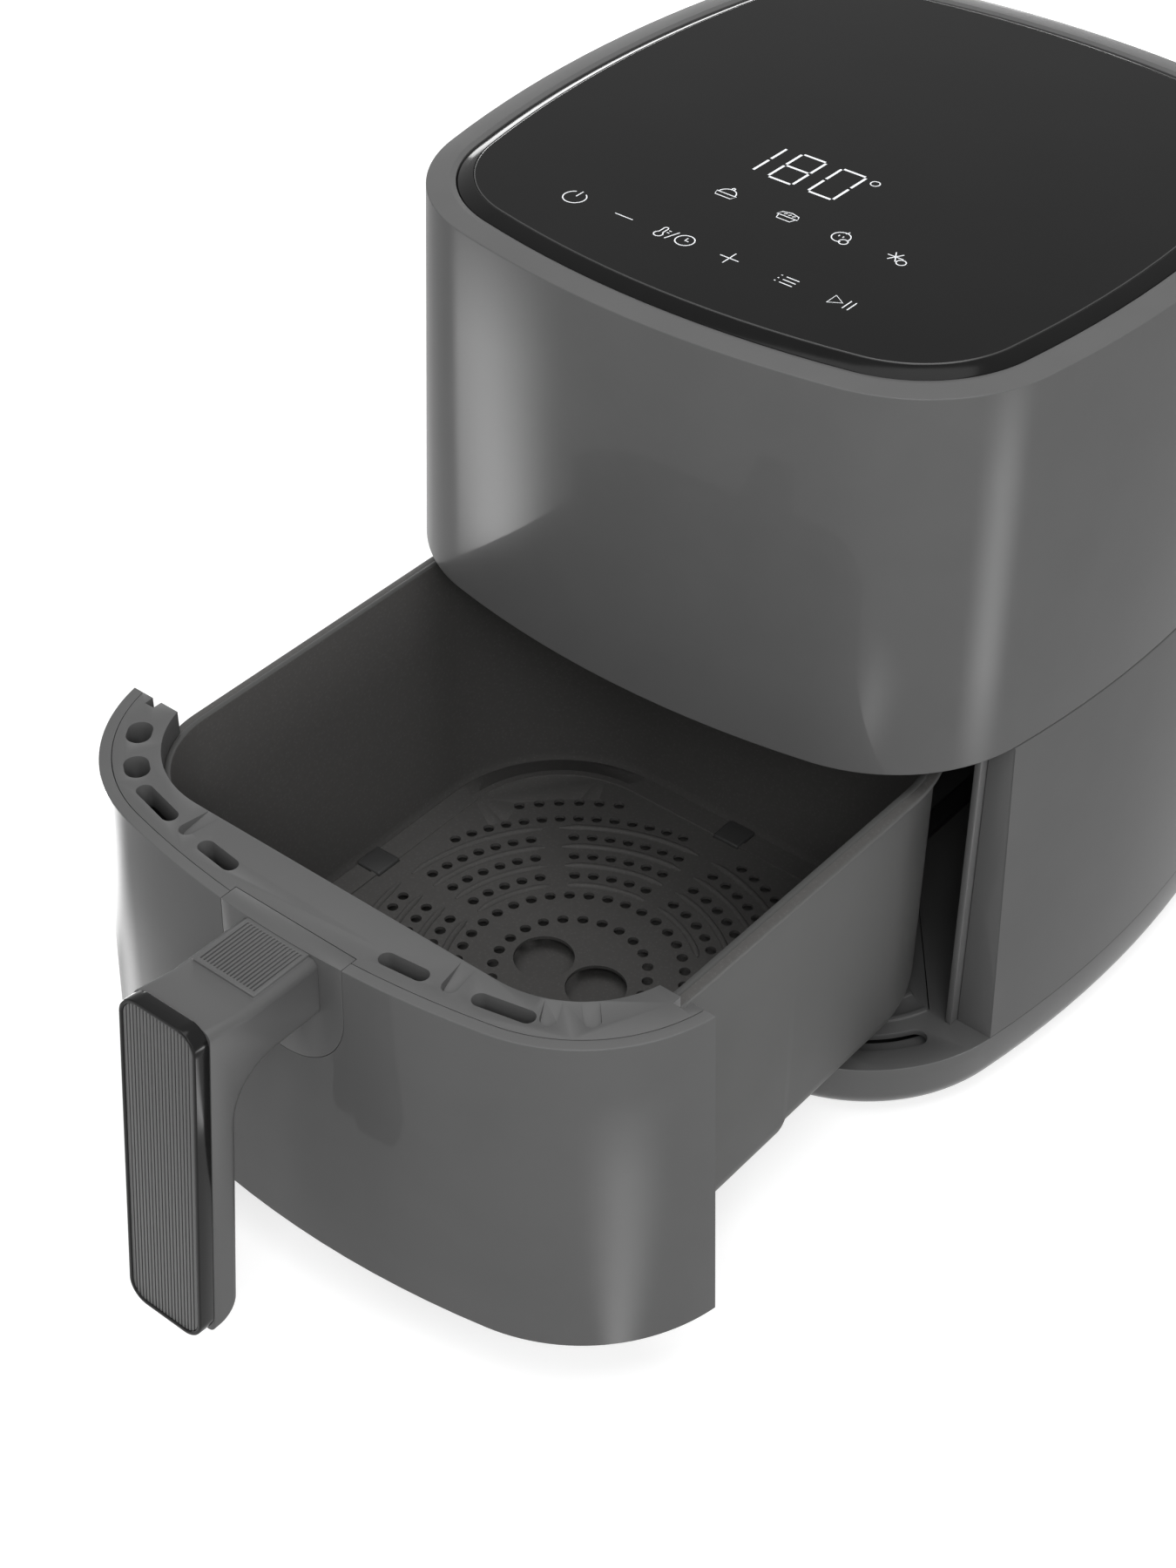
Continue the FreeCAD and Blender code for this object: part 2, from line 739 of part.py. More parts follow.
def make_base():
    """Base tray, bottom cover, feet and screws."""
    block = walls("base_block", "base_low", "base_top")

    def underside(edge):
        return edge.BoundBox.ZMax < size("base_low") + 0.01

    skirt = rounded_edges("base_skirt", block, "base_round", underside)
    hollow = walls("base_hollow", "base_under", "base_ceiling", ("skirt_width",))
    slot_plan, rib_plan = new_sketch("air_slot_plan"), new_sketch("rib_plan")
    for side in (1, -1):
        bent_slot_in(slot_plan, side, "air_slot_radius", "air_slot_width", "air_slot_near", "air_slot_far")
        bent_slot_in(rib_plan, side, "outer_rib", "rib_thickness", "rib_near", "air_slot_far")
        bent_slot_in(rib_plan, side, "inner_rib", "rib_thickness", "rib_near", "air_slot_far")
    seat(slot_plan, None, "base_under")
    seat(rib_plan, None, "base_ceiling")
    slots = prism("air_slots", slot_plan, "dims.base_over - dims.base_under")
    ribs = prism("deflectors", rib_plan, "dims.rib_top - dims.base_ceiling")
    tray = cut("base_open", skirt, hollow, slots)
    bosses, holes, screws = [], [], []
    for number, (x, y) in enumerate(((1, 1), (1, -1), (-1, 1), (-1, -1)), 1):
        across, deep = "%d * dims.base_boss_x" % x, "%d * dims.base_boss_y" % y
        bosses.append(cylinder("base_boss_%d" % number, (across, deep, "dims.cover_high"), "dims.boss_radius",
                               "dims.base_ceiling - dims.cover_high + 0.5"))
        holes.append(screw_hole("base_hole_%d" % number, across, deep, "dims.base_under",
                                "dims.base_screw_length + 4"))
        screws.append(screw("base_screw_%d" % number, across, deep, "dims.cover_low",
                            "dims.base_screw_length"))
    bored = group("base_holes", holes)
    fixed(cut("base_tray", fuse("base_joined", tray, ribs, *bosses), bored), "base_tray")

    cover = new_body("cover_body")
    sketch = plan("cover_plan", "cover_low", ("skirt_width", "fit_gap"), cover)
    feature(cover, "Pad", "cover_plate", sketch, Length="dims.cover_thickness")
    slot = on_plane(cover, "cover_slot_sketch", "XY_Plane", "dims.cover_high")
    first = -size("cover_slot_pitch") * (size("cover_slots") - 1) / 2
    rectangle_in(slot, first - size("cover_slot_width") / 2, first + size("cover_slot_width") / 2,
                 -size("cover_slot_length") / 2, size("cover_slot_length") / 2)
    opened = feature(cover, "Pocket", "cover_slot", slot, Length="dims.cover_thickness + 1")
    repeat = cover.newObject("PartDesign::LinearPattern", "cover_slots")
    repeat.Originals = [opened]
    repeat.Direction = (origin(cover, "X_Axis"), [""])
    bind(repeat, Length="dims.cover_slot_pitch * (dims.cover_slots - 1)", Occurrences="dims.cover_slots")
    cover.Tip = repeat
    fixed(cut("bottom_cover", cover, bored), "bottom_cover")

    feet = []
    for number, (x, y) in enumerate(((1, 1), (1, -1), (-1, 1), (-1, -1)), 1):
        place = ("%d * dims.foot_x" % x, "%d * dims.foot_y" % y, "0")
        feet.append(cylinder("foot_%d" % number, place, "dims.foot_radius", "dims.cover_low"))
    fixed(group("feet", feet), "feet")
    fixed(group("base_screws", screws), "base_screws")


def make_lower_shell():
    """Lower shell with its return faces, and the liner and runners of the drawer's cavity."""
    outer = walls("lower_outer", "base_top", "lower_high")
    inner = walls("lower_inner", "base_under", "lower_over", ("house_wall",))
    span = "2 * dims.half_width + 80"
    behind = box("behind_web", ("-dims.half_width - 40", "-dims.shell_cut + dims.web_thickness", "0"),
                 (span, "dims.half_depth + dims.shell_cut + 80", "dims.upper_top"))
    ahead = box("ahead_of_shell", ("-dims.half_width - 40", "-dims.half_depth - 80", "0"),
                (span, "dims.half_depth + 80 - dims.shell_cut", "dims.upper_top"))
    mouth = box("shell_mouth", ("-dims.liner_half - dims.fit_gap", "-dims.half_depth - 80", "0"),
                ("2 * (dims.liner_half + dims.fit_gap)", "dims.half_depth + 80", "dims.upper_top"))
    room = common("lower_room", inner, behind)
    cord = cylinder("gland_hole", ("0", "dims.half_depth - 30", "dims.gland_level"),
                    "dims.gland_radius + dims.fit_gap", "80", V(0, 1, 0))
    shell = cut("lower_open", outer, room, ahead, mouth, cord)
    bosses, holes, screws = [], [], []
    for number, side in enumerate((1, -1), 1):
        across = "%d * dims.shell_boss_x" % side
        tall = "dims.lower_high - dims.base_top"
        post = cylinder("shell_boss_%d" % number, (across, "dims.shell_boss_y", "dims.base_top"),
                        "dims.boss_radius", tall)
        web = doc.addObject("Part::Box", "boss_web_%d" % number)
        turn = FreeCAD.Rotation(V(0, 0, 1), 90 - side * 45)
        aside = turn.multVec(V(0, -size("boss_web") / 2, 0))
        corner = V(side * size("shell_boss_x"), size("shell_boss_y"), size("base_top")) + aside
        web.Placement = FreeCAD.Placement(corner, turn)
        bind(web, Length="dims.boss_web_length", Width="dims.boss_web", Height=tall)
        bosses.append(common("boss_in_shell_%d" % number, fuse("boss_joined_%d" % number, post, web), outer))
        holes.append(screw_hole("shell_hole_%d" % number, across, "dims.shell_boss_y",
                                "dims.lower_high - dims.shell_screw_length", "dims.shell_screw_length + 20"))
        screws.append(screw("shell_screw_%d" % number, across, "dims.shell_boss_y", "dims.mid_high",
                            "dims.shell_screw_length", -1))
    bored = group("shell_holes", holes)
    fixed(cut("lower_shell", fuse("lower_joined", shell, *bosses), bored), "lower_shell")
    fixed(group("housing_screws", screws), "housing_screws")

    liner = new_body("cavity_liner")
    sketch = on_plane(liner, "liner_sketch", "XY_Plane", "dims.base_top")
    quarter = math.pi / 2
    for inset, way in ((0.0, 1), (size("liner_thickness"), -1)):
        half, rear = size("liner_half") - inset, size("liner_rear") - inset
        bend, front = size("liner_corner") - inset, -size("liner_front")
        sketch.addGeometry(Part.LineSegment(V(half, front, 0), V(half, rear - bend, 0)), False)
        arc(sketch, half - bend, rear - bend, bend, 0, quarter)
        sketch.addGeometry(Part.LineSegment(V(half - bend, rear, 0), V(bend - half, rear, 0)), False)
        arc(sketch, bend - half, rear - bend, bend, quarter, 2 * quarter)
        sketch.addGeometry(Part.LineSegment(V(-half, rear - bend, 0), V(-half, front, 0)), False)
    for side in (1, -1):
        ends = [V(side * (size("liner_half") - inset), -size("liner_front"), 0)
                for inset in (0.0, size("liner_thickness"))]
        sketch.addGeometry(Part.LineSegment(*ends), False)
    feature(liner, "Pad", "liner_wall", sketch, Length="dims.lower_high - dims.base_top")
    fixed(liner, "cavity_liner")

    for side, x in (("left", "-dims.runner_x - dims.runner_width"), ("right", "dims.runner_x")):
        runner = box(side + "_runner", (x, "-dims.runner_start", "dims.base_top"),
                     ("dims.runner_width", "dims.runner_start + dims.runner_end",
                      "dims.basket_low - dims.fit_gap - dims.base_top"))
        fixed(runner, side + "_runner")

    stub = cylinder("gland_stub", ("0", "dims.rear_reach - dims.gland_length", "dims.gland_level"),
                    "dims.gland_radius", "dims.gland_length", V(0, 1, 0))
    bore = cylinder("gland_bore", ("0", "dims.rear_reach - dims.gland_length - 1", "dims.gland_level"),
                    "dims.gland_bore", "dims.gland_length + 2", V(0, 1, 0))
    fixed(cut("cord_gland", stub, bore), "cord_gland")


def make_upper_shell():
    """Upper shell, rear vent, bezel, glass and what lies under them."""
    outer = walls("upper_outer", "upper_low", "upper_top")
    cap = walls("lip_slope", "upper_top", "lip_top", (), ("lip_width",))
    room = walls("upper_room", "upper_under", "upper_roof", ("house_wall",))
    hole = walls("panel_hole", "roof_under", "panel_over", ("lip_width",))
    window = box("vent_window", ("-dims.vent_half", "0", "dims.vent_low"),
                 ("2 * dims.vent_half", "dims.half_depth + 40", "dims.vent_height"))
    solid = cut("upper_closed", fuse("upper_solid", outer, cap), room, hole)
    fixed(cut("upper_shell", solid, window), "upper_shell")

    insert = box("vent_insert", ("-dims.vent_half + dims.fit_gap", "0", "dims.vent_low + dims.fit_gap"),
                 ("2 * (dims.vent_half - dims.fit_gap)", "dims.half_depth + 40",
                  "dims.vent_height - 2 * dims.fit_gap"))
    gaps = []
    for number in range(int(size("slat_count"))):
        low = "dims.vent_low + dims.slat_margin + %d * dims.slat_pitch" % number
        gaps.append(box("slat_gap_%d" % number, ("-dims.vent_half + dims.slat_margin", "0", low),
                        ("2 * (dims.vent_half - dims.slat_margin)", "dims.half_depth + 40", "dims.slat_gap")))
    fixed(cut("rear_vent", common("vent_plate", solid, insert), group("slat_gaps", gaps)), "rear_vent")

    edge = ("lip_width", "fit_gap")
    collar = walls("bezel_collar", "bezel_low", "upper_top", edge)
    bevel = walls("bezel_bevel", "upper_top", "panel_top", edge, ("panel_inset",))
    seat_hole = walls("glass_seat", "glass_low", "panel_over", ("panel_inset",))
    through = walls("bezel_through", "bezel_under", "panel_over", ("panel_inset", "bezel_ledge"))
    fixed(cut("top_bezel", fuse("bezel_solid", collar, bevel), seat_hole, through), "top_bezel")
    fixed(walls("glass_panel", "glass_low", "panel_top", ("panel_inset", "run_gap")), "glass_panel")

    carrier = new_body("panel_carrier")
    sketch = plan("carrier_plan", "carrier_low", ("panel_inset",), carrier)
    feature(carrier, "Pad", "carrier_plate", sketch, Length="dims.carrier_thickness")
    fixed(carrier, "panel_carrier")
    board = box("display_board", ("-dims.board_length / 2", "-dims.board_width / 2", "dims.bezel_low"),
                ("dims.board_length", "dims.board_width", "dims.board_thickness"))
    fixed(board, "display_board")
    display = box("display_module",
                  ("-dims.display_length / 2", "0", "dims.bezel_low + dims.board_thickness"),
                  ("dims.display_length", "dims.display_width",
                   "dims.glass_low - dims.fit_gap - dims.bezel_low - dims.board_thickness"))
    fixed(display, "display_module")


def make_chamber():
    """Frame between the shells, heating chamber, heater and outlet duct."""
    frame = new_body("mid_frame_body")
    sketch = plan("mid_plan", "mid_low", ("house_wall", "fit_gap"), frame)
    feature(frame, "Pad", "mid_plate", sketch, Length="dims.mid_thickness")
    mouth = on_plane(frame, "mid_mouth_sketch", "XY_Plane", "dims.mid_high")
    circle_in(mouth, "chamber_mouth")
    feature(frame, "Pocket", "mid_mouth", mouth, Length="dims.mid_thickness + 1")
    fixed(cut("mid_frame", frame, doc.getObject("shell_holes")), "mid_frame")

    chamber = new_body("heating_chamber")
    sketch = on_plane(chamber, "chamber_sketch", "XZ_Plane")
    radius, wall, top = size("chamber_radius"), size("chamber_wall"), size("chamber_top")
    low, lip, bore = size("mid_high"), size("chamber_flange"), size("shaft_hole")
    polygon_in(sketch, [(bore, top), (radius, top), (radius, low + wall), (radius + lip, low + wall),
                        (radius + lip, low), (radius - wall, low),
                        (radius - wall, top - wall), (bore, top - wall)])
    spun = chamber.newObject("PartDesign::Revolution", "chamber_dome")
    spun.Profile = sketch
    spun.ReferenceAxis = (sketch, ["V_Axis"])
    spun.Angle = 360
    fixed(chamber, "heating_chamber")

    fixed(heater(), "heating_element")

    straps = []
    low = "dims.heater_level + dims.heater_tube"
    for number, angle in enumerate((90.0, 210.0, 330.0), 1):
        strap = doc.addObject("Part::Box", "strap_%d" % number)
        bind(strap, Length="dims.bracket_length", Width="dims.bracket_thickness",
             Height="dims.chamber_top - dims.chamber_wall - (%s)" % low)
        away = size("heater_radius") - 2 * size("heater_step") - 4.0
        turn = FreeCAD.Rotation(V(0, 0, 1), angle)
        strap.Placement = FreeCAD.Placement(turn.multVec(V(away, 0, 0)), turn)
        bind(strap, Placement__Base__z=low)
        straps.append(strap)
    fixed(group("heater_brackets", straps), "heater_brackets")

    duct = box("duct_outer", ("-dims.vent_half + dims.fit_gap", "dims.chamber_radius - 30",
                              "dims.vent_low + dims.fit_gap"),
               ("2 * (dims.vent_half - dims.fit_gap)",
                "dims.half_depth - dims.chamber_radius + 30 - dims.duct_gap",
                "dims.chamber_top - dims.vent_low - 2 * dims.fit_gap"))
    inner = box("duct_inner", ("-dims.vent_half + dims.fit_gap + dims.duct_wall", "0",
                               "dims.vent_low + dims.fit_gap + dims.duct_wall"),
                ("2 * (dims.vent_half - dims.fit_gap - dims.duct_wall)", "dims.half_depth + 40",
                 "dims.chamber_top - dims.vent_low - 2 * (dims.fit_gap + dims.duct_wall)"))
    drum = cylinder("duct_drum", ("0", "0", "dims.mid_high"), "dims.chamber_radius + dims.fit_gap",
                    "dims.chamber_height + 20")
    fixed(cut("exhaust_duct", duct, inner, drum), "exhaust_duct")


def heater():
    """The heater: a tube wound one and a half turns inwards, with both ends turned up."""
    level, bend, tube = size("heater_level"), size("heater_bend"), size("heater_tube")
    start, step = size("heater_radius"), size("heater_step")
    top = size("chamber_top") - size("chamber_wall") - size("fit_gap")

    def turn(centre, radius, begin, end):
        middle = (begin + end) / 2
        points = [V(centre + radius * math.cos(a), radius * math.sin(a), level) for a in (begin, middle, end)]
        return Part.Arc(*points).toShape()

    def rise(x, way):
        bent = [V(x, way * bend * math.sin(a), level + bend * (1 - math.cos(a)))
                for a in (0, math.pi / 4, math.pi / 2)]
        straight = Part.LineSegment(bent[2], V(x, way * bend, top)).toShape()
        return Part.Arc(*bent).toShape(), straight

    first, last = rise(start, -1), rise(-(start - 2 * step), -1)
    route = [first[1], first[0], turn(0, start, 0, math.pi), turn(-step, start - step, math.pi, 2 * math.pi),
             turn(0, start - 2 * step, 0, math.pi), last[0], last[1]]
    wire = Part.Wire(Part.__sortEdges__(route))
    ends = [vertex.Point for vertex in wire.OrderedVertexes]
    ring = Part.Wire(Part.Circle(ends[0], V(0, 0, 1), tube).toShape())
    item = doc.addObject("Part::Feature", "heating_element")
    item.Shape = wire.makePipeShell([ring], True, False)
    print("heater turns apart", 2 * step - 2 * tube)
    return item


def impeller(name, radius, level, disc, hub_height, blade, down):
    """A fan wheel: disc, hub and straight blades round it."""
    body = new_body(name)
    sketch = on_plane(body, name + "_disc_sketch", "XY_Plane", level)
    circle_in(sketch, radius)
    feature(body, "Pad", name + "_disc", sketch, Length=disc)
    sketch = on_plane(body, name + "_hub_sketch", "XY_Plane", level)
    circle_in(sketch, "fan_hub")
    feature(body, "Pad", name + "_hub", sketch, Length=hub_height).Reversed = down
    sketch = on_plane(body, name + "_blade_sketch", "XY_Plane", level)
    half = size("blade_thickness") / 2
    rectangle_in(sketch, size("blade_start"), size(radius) - 1, -half, half)
    vane = feature(body, "Pad", name + "_blade", sketch, Length=blade)
    vane.Reversed = down
    repeat = body.newObject("PartDesign::PolarPattern", name + "_blades")
    repeat.Originals = [vane]
    repeat.Axis = (origin(body, "Z_Axis"), [""])
    repeat.Angle = 360
    bind(repeat, Occurrences="dims.blade_count")
    body.Tip = repeat
    return body


def make_rotor():
    """Motor, its bracket, and the fans on the shaft."""
    bore = cylinder("rotor_bore", ("0", "0", "dims.mid_high"), "dims.shaft_radius + dims.run_gap",
                    "dims.upper_height")
    hot = impeller("hot_fan_body", "fan_radius", "dims.fan_level", "dims.fan_disc", "dims.fan_hub_height",
                   "dims.blade_height", True)
    fixed(cut("hot_air_fan", hot, bore), "hot_air_fan")
    cool = impeller("cool_fan_body", "cooler_radius", "dims.chamber_top + dims.cooler_lift", "dims.fan_disc",
                    "dims.fan_hub_height", "dims.cooler_blade", False)
    fixed(cut("cooling_fan", cool, bore), "cooling_fan")
    low = "dims.fan_level - dims.fan_hub_height"
    shaft = cylinder("motor_shaft", ("0", "0", low), "dims.shaft_radius",
                     "dims.motor_low + dims.motor_height - dims.shaft_top - (%s)" % low)
    fixed(shaft, "motor_shaft")
    can = cylinder("motor_can", ("0", "0", "dims.motor_low"), "dims.motor_radius", "dims.motor_height")
    shaft_room = cylinder("motor_bore", ("0", "0", "dims.motor_low - 1"), "dims.shaft_radius + dims.run_gap",
                          "dims.motor_height - dims.shaft_top + 2")
    fixed(cut("fan_motor", can, shaft_room), "fan_motor")
    plate = box("bridge_plate", ("-dims.bridge_length / 2", "-dims.bridge_width / 2", "dims.bridge_low"),
                ("dims.bridge_length", "dims.bridge_width", "dims.bridge_thickness"))
    legs = []
    for number, (x, y) in enumerate(((1, 1), (1, -1), (-1, 1), (-1, -1)), 1):
        place = ("%d * dims.leg_x" % x, "%d * dims.leg_y" % y, "dims.chamber_top")
        legs.append(cylinder("bridge_leg_%d" % number, place, "dims.leg_radius", "dims.bracket_lift + 0.5"))
    pass_hole = cylinder("bridge_hole", ("0", "0", "dims.bridge_low - 1"), "dims.shaft_hole",
                         "dims.bridge_thickness + 2")
    fixed(cut("motor_bracket", fuse("bridge", plate, *legs), pass_hole), "motor_bracket")


def make_electrics():
    """Mains board, sensors, and the switch that the closed drawer presses."""
    level = "dims.chamber_top + dims.post_height"
    board = box("power_board", ("dims.mains_x", "-dims.mains_width / 2", level),
                ("dims.mains_length", "dims.mains_width", "dims.board_thickness"))
    fixed(board, "power_board")
    posts = []
    near = "dims.mains_x + dims.post_margin"
    far = "dims.mains_x + dims.mains_length - dims.post_margin"
    for number, (x, side) in enumerate(((near, 1), (near, -1), (far, 1), (far, -1)), 1):
        y = "%d * (dims.mains_width / 2 - dims.post_margin)" % side
        posts.append(cylinder("board_post_%d" % number, (x, y, "dims.chamber_top"), "dims.post_radius",
                              "dims.post_height"))
    fixed(group("board_posts", posts), "board_posts")
    above = level + " + dims.board_thickness"
    fitted = [
        box("relay", ("dims.mains_x + 6", "-dims.mains_width / 2 + 8", above), ("16", "20", "16")),
        box("transformer", ("dims.mains_x + 14", "-6", above), ("22", "18", "20")),
        cylinder("capacitor", ("dims.mains_x + 14", "dims.mains_width / 2 - 14", above), "6", "18"),
    ]
    fixed(group("board_components", fitted), "board_components")
    probe = cylinder("temperature_sensor", ("-dims.sensor_x", "dims.sensor_y", "dims.chamber_top"),
                     "dims.sensor_radius", "dims.sensor_height")
    fixed(probe, "temperature_sensor")
    fuse_rod = cylinder("thermal_fuse",
                        ("-dims.sensor_x", "-dims.sensor_y", "dims.chamber_top + dims.fuse_radius"),
                        "dims.fuse_radius", "dims.fuse_length", V(1, 0, 0))
    fixed(fuse_rod, "thermal_fuse")

    case = box("switch_case", ("dims.switch_x", "dims.switch_front", "dims.mid_low - dims.switch_height"),
               ("dims.switch_width", "dims.switch_depth", "dims.switch_height"))
    middle = "dims.switch_x + dims.switch_width / 2"
    guide = cylinder("switch_guide", (middle, "dims.switch_front - 1", "dims.plunger_level"),
                     "dims.plunger_radius + dims.fit_gap",
                     "dims.plunger_in + dims.plunger_travel + dims.fit_gap + 1", V(0, 1, 0))
    fixed(cut("drawer_switch", case, guide), "drawer_switch")
    plunger = cylinder("switch_plunger", (middle, "dims.plunger_tip", "dims.plunger_level"),
                       "dims.plunger_radius", "dims.plunger_out + dims.plunger_in", V(0, 1, 0))
    fixed(plunger, "switch_plunger")


def front_edge(x, inset):
    """Depth and heading of the flange's front at a distance from the middle, drawn in by an inset."""
    grow = plan_grow("drawer_top", (inset,))
    corner_x, corner_y, low, high = plan_arcs(grow)
    front = size("front_radius") + grow
    if abs(x) > front * math.cos(high):
        corner = size("corner_radius") + grow
        heading = math.copysign(math.asin(min(1.0, (abs(x) - corner_x) / corner)), x)
        return round_corner(heading, inset)
    centre = size("half_depth") + grow - front
    y = centre + math.sqrt(front ** 2 - x ** 2)
    return V(x, -y, 0), math.atan2(x, y - centre)


def round_corner(heading, inset):
    """Place of a vent round the flange's corner, at a heading from straight ahead."""
    grow = plan_grow("drawer_top", (inset,))
    corner_x, corner_y, low, high = plan_arcs(grow)
    corner = size("corner_radius") + grow
    x = math.copysign(corner_x, heading) + corner * math.sin(heading)
    return V(x, -corner_y - corner * math.cos(heading), 0), heading


def slot_in(sketch, middle, heading, length, width):
    """A slot with round ends, laid along a heading."""
    along = V(math.cos(heading), math.sin(heading), 0)
    across = V(-along.y, along.x, 0) * (width / 2)
    ends = [middle + along * (side * (length - width) / 2) for side in (1, -1)]
    for end, start in zip(ends, (heading - math.pi / 2, heading + math.pi / 2)):
        arc(sketch, end.x, end.y, width / 2, start, start + math.pi)
    sketch.addGeometry(Part.LineSegment(ends[0] + across, ends[1] + across), False)
    sketch.addGeometry(Part.LineSegment(ends[0] - across, ends[1] - across), False)


def scoop(name, spot, rise):
    """A pocket with round ends whose floor rises to the flange's top over a named distance."""
    place, heading = spot
    length = size("pocket_length")
    sketch = new_sketch(name + "_plan")
    slot_in(sketch, V(length / 2, 0, 0), 0.0, length, size("pocket_width"))
    inwards = FreeCAD.Rotation(V(0, 0, 1), math.degrees(heading) + 90)
    upwards = FreeCAD.Rotation(V(0, 1, 0), -math.degrees(math.atan2(size("pocket_depth"), size(rise))))
    sketch.Placement = FreeCAD.Placement(V(place.x, place.y, size("pocket_floor")), inwards * upwards)
    bind(sketch, Placement__Base__z="dims.pocket_floor")
    return prism(name, sketch, "2 * dims.pocket_depth")


# slots along the flange: distance from the middle, and length
FLANGE_SLOTS = ((-81.8, 23.5), (-44.8, 19.5), (43.0, 20.0), (81.4, 23.5))
# oblong holes round the flange's left corner, in degrees from straight ahead
CORNER_HOLES = (-35.9, -56.4)
# pockets whose floor rises towards the basket: along the front, and in degrees round the right corner
FRONT_POCKETS = (-63.4, 61.4)
CORNER_POCKETS = (28.6, 43.2)


def make_drawer():
    """Front panel, flange and basket."""
    outer = walls("front_outer", "drawer_low", "drawer_top")
    inner = walls("front_inner", "drawer_under", "drawer_over", ("front_wall",))
    behind = box("behind_drawer", ("-dims.half_width - 40", "-dims.drawer_end", "0"),
                 ("2 * dims.half_width + 80", "dims.half_depth + dims.drawer_end + 80", "dims.upper_top"))
    shield = mount_prism("mount_clearance", "fit_gap")
    panel = cut("drawer_front", outer, inner, behind, shield)
    pulled(panel, "drawer_front")

    plate = walls("flange_plate", "rim_top", "drawer_top", ("front_wall", "fit_gap"))
    opening = loft("flange_opening", tub("flange_opening_low", "rim_low", ("-flange_reach",)),
                   tub("flange_opening_high", "drawer_over", ("-flange_reach",)))
    notches = []
    starts = (("right", "dims.liner_inner - dims.notch_gap"), ("left", "-dims.liner_half - dims.notch_gap"))
    for side, x in starts:
        notches.append(box("flange_notch_" + side, (x, "-dims.drawer_end - dims.notch_depth", "0"),
                           ("dims.liner_thickness + 2 * dims.notch_gap", "dims.notch_depth + 1",
                            "dims.upper_top")))
    back = box("mount_back", ("-dims.mount_half - dims.fit_gap", "-dims.half_depth - 80", "0"),
               ("2 * (dims.mount_half + dims.fit_gap)", "80 + dims.mount_thickness + dims.fit_gap"
                " - dims.draft_slope * (dims.upper_top - dims.drawer_top)", "dims.upper_top"))
    vents = new_sketch("flange_vents")
    for x, length in FLANGE_SLOTS:
        slot_in(vents, *front_edge(x, "vent_inset"), length, size("vent_width"))
    for angle in CORNER_HOLES:
        spot = round_corner(math.radians(angle), "vent_inset")
        slot_in(vents, *spot, size("vent_hole_length"), size("vent_hole_width"))
    seat(vents, None, "rim_low")
    cutter = prism("flange_cutter", vents, "dims.flange_height + dims.rim_height + 2")
    pockets = []
    for number, x in enumerate(FRONT_POCKETS):
        pockets.append(scoop("front_pocket_%d" % number, front_edge(x, "pocket_inset"), "front_rise"))
    for number, angle in enumerate(CORNER_POCKETS):
        spot = round_corner(math.radians(angle), "pocket_inset")
        pockets.append(scoop("corner_pocket_%d" % number, spot, "corner_rise"))
    slab = box("web_slab", ("-dims.half_width - 40",
                            "-dims.drawer_end - dims.notch_depth - dims.flange_web", "0"),
               ("2 * dims.half_width + 80", "dims.flange_web", "dims.upper_top"))
    between = common("web_block", walls("web_walls", "web_low", "drawer_top", ("front_wall", "fit_gap")), slab)
    rim_room = tub_walls("web_rim_room", "web_rim_low", "drawer_over", ("-rim_width", "-fit_gap"))
    wall_room = tub_walls("web_wall_room", "pan_under", "rim_top", ("-basket_wall", "-fit_gap"))
    webs = cut("flange_webs", between, rim_room, wall_room)
    flange = cut("drawer_flange", fuse("flange_body", plate, webs), opening, behind,
                 group("flange_notches", notches), back, cutter, group("flange_pockets", pockets))
    pulled(flange, "drawer_flange")

    wall = ("-basket_wall",)

    def low_edge(level):
        return lambda edge: edge.BoundBox.ZMax < size(level) + 0.01

    rear_hull = rounded_edges("rear_hull", tub_walls("rear_block", "basket_low", "rim_top", wall),
                              "basket_round", low_edge("basket_low"))
    front_hull = rounded_edges("front_hull", tub_walls("front_block", "pan_low", "rim_top", wall),
                               "basket_round", low_edge("pan_low"))
    ahead = box("ahead_of_step", ("-dims.half_width", "-2 * dims.half_depth", "0"),
                ("2 * dims.half_width", "2 * dims.half_depth - dims.pan_end", "dims.upper_top"))
    after = box("after_step", ("-dims.half_width", "-dims.pan_end", "0"),
                ("2 * dims.half_width", "2 * dims.half_depth", "dims.upper_top"))
    hollow = tub_walls("pan_hollow", "pan_under", "basket_low", ("pan_width",))
    front = cut("front_half", common("front_part", front_hull, ahead), hollow)
    hull = fuse("basket_hull", front, common("rear_half", rear_hull, after))
    room = tub_walls("basket_room_block", "floor_top", "rim_over")
    doc.recompute()
    rounded = doc.addObject("Part::Fillet", "basket_room")
    rounded.Base = room
    radius = size("basket_round") - size("basket_wall")
    edges = enumerate(room.Shape.Edges, 1)
    rounded.Edges = [(number, radius, radius) for number, edge in edges if low_edge("floor_top")(edge)]
    rim = tub_walls("basket_rim", "rim_low", "rim_top", ("-rim_width",))
    pulled(cut("basket", fuse("basket_solid", hull, rim), rounded), "basket")


def mount_prism(name, gap):
    """The U-shaped prism of the handle's mount, made larger by a gap."""
    sketch = new_sketch(name + "_sketch")
    half = size("mount_half") + (size(gap) if gap else 0.0)
    middle, high = size("drawer_top") - size("mount_drop"), size("drawer_over")
    arc(sketch, 0, middle, half, math.pi, 2 * math.pi)
    sketch.addGeometry(Part.LineSegment(V(half, middle, 0), V(half, high, 0)), False)
    sketch.addGeometry(Part.LineSegment(V(half, high, 0), V(-half, high, 0)), False)
    sketch.addGeometry(Part.LineSegment(V(-half, high, 0), V(-half, middle, 0)), False)
    sketch.Placement = FreeCAD.Placement(V(0, -size("half_depth") + 40, 0), FreeCAD.Rotation(V(1, 0, 0), 90))
    return prism(name, sketch, "80")


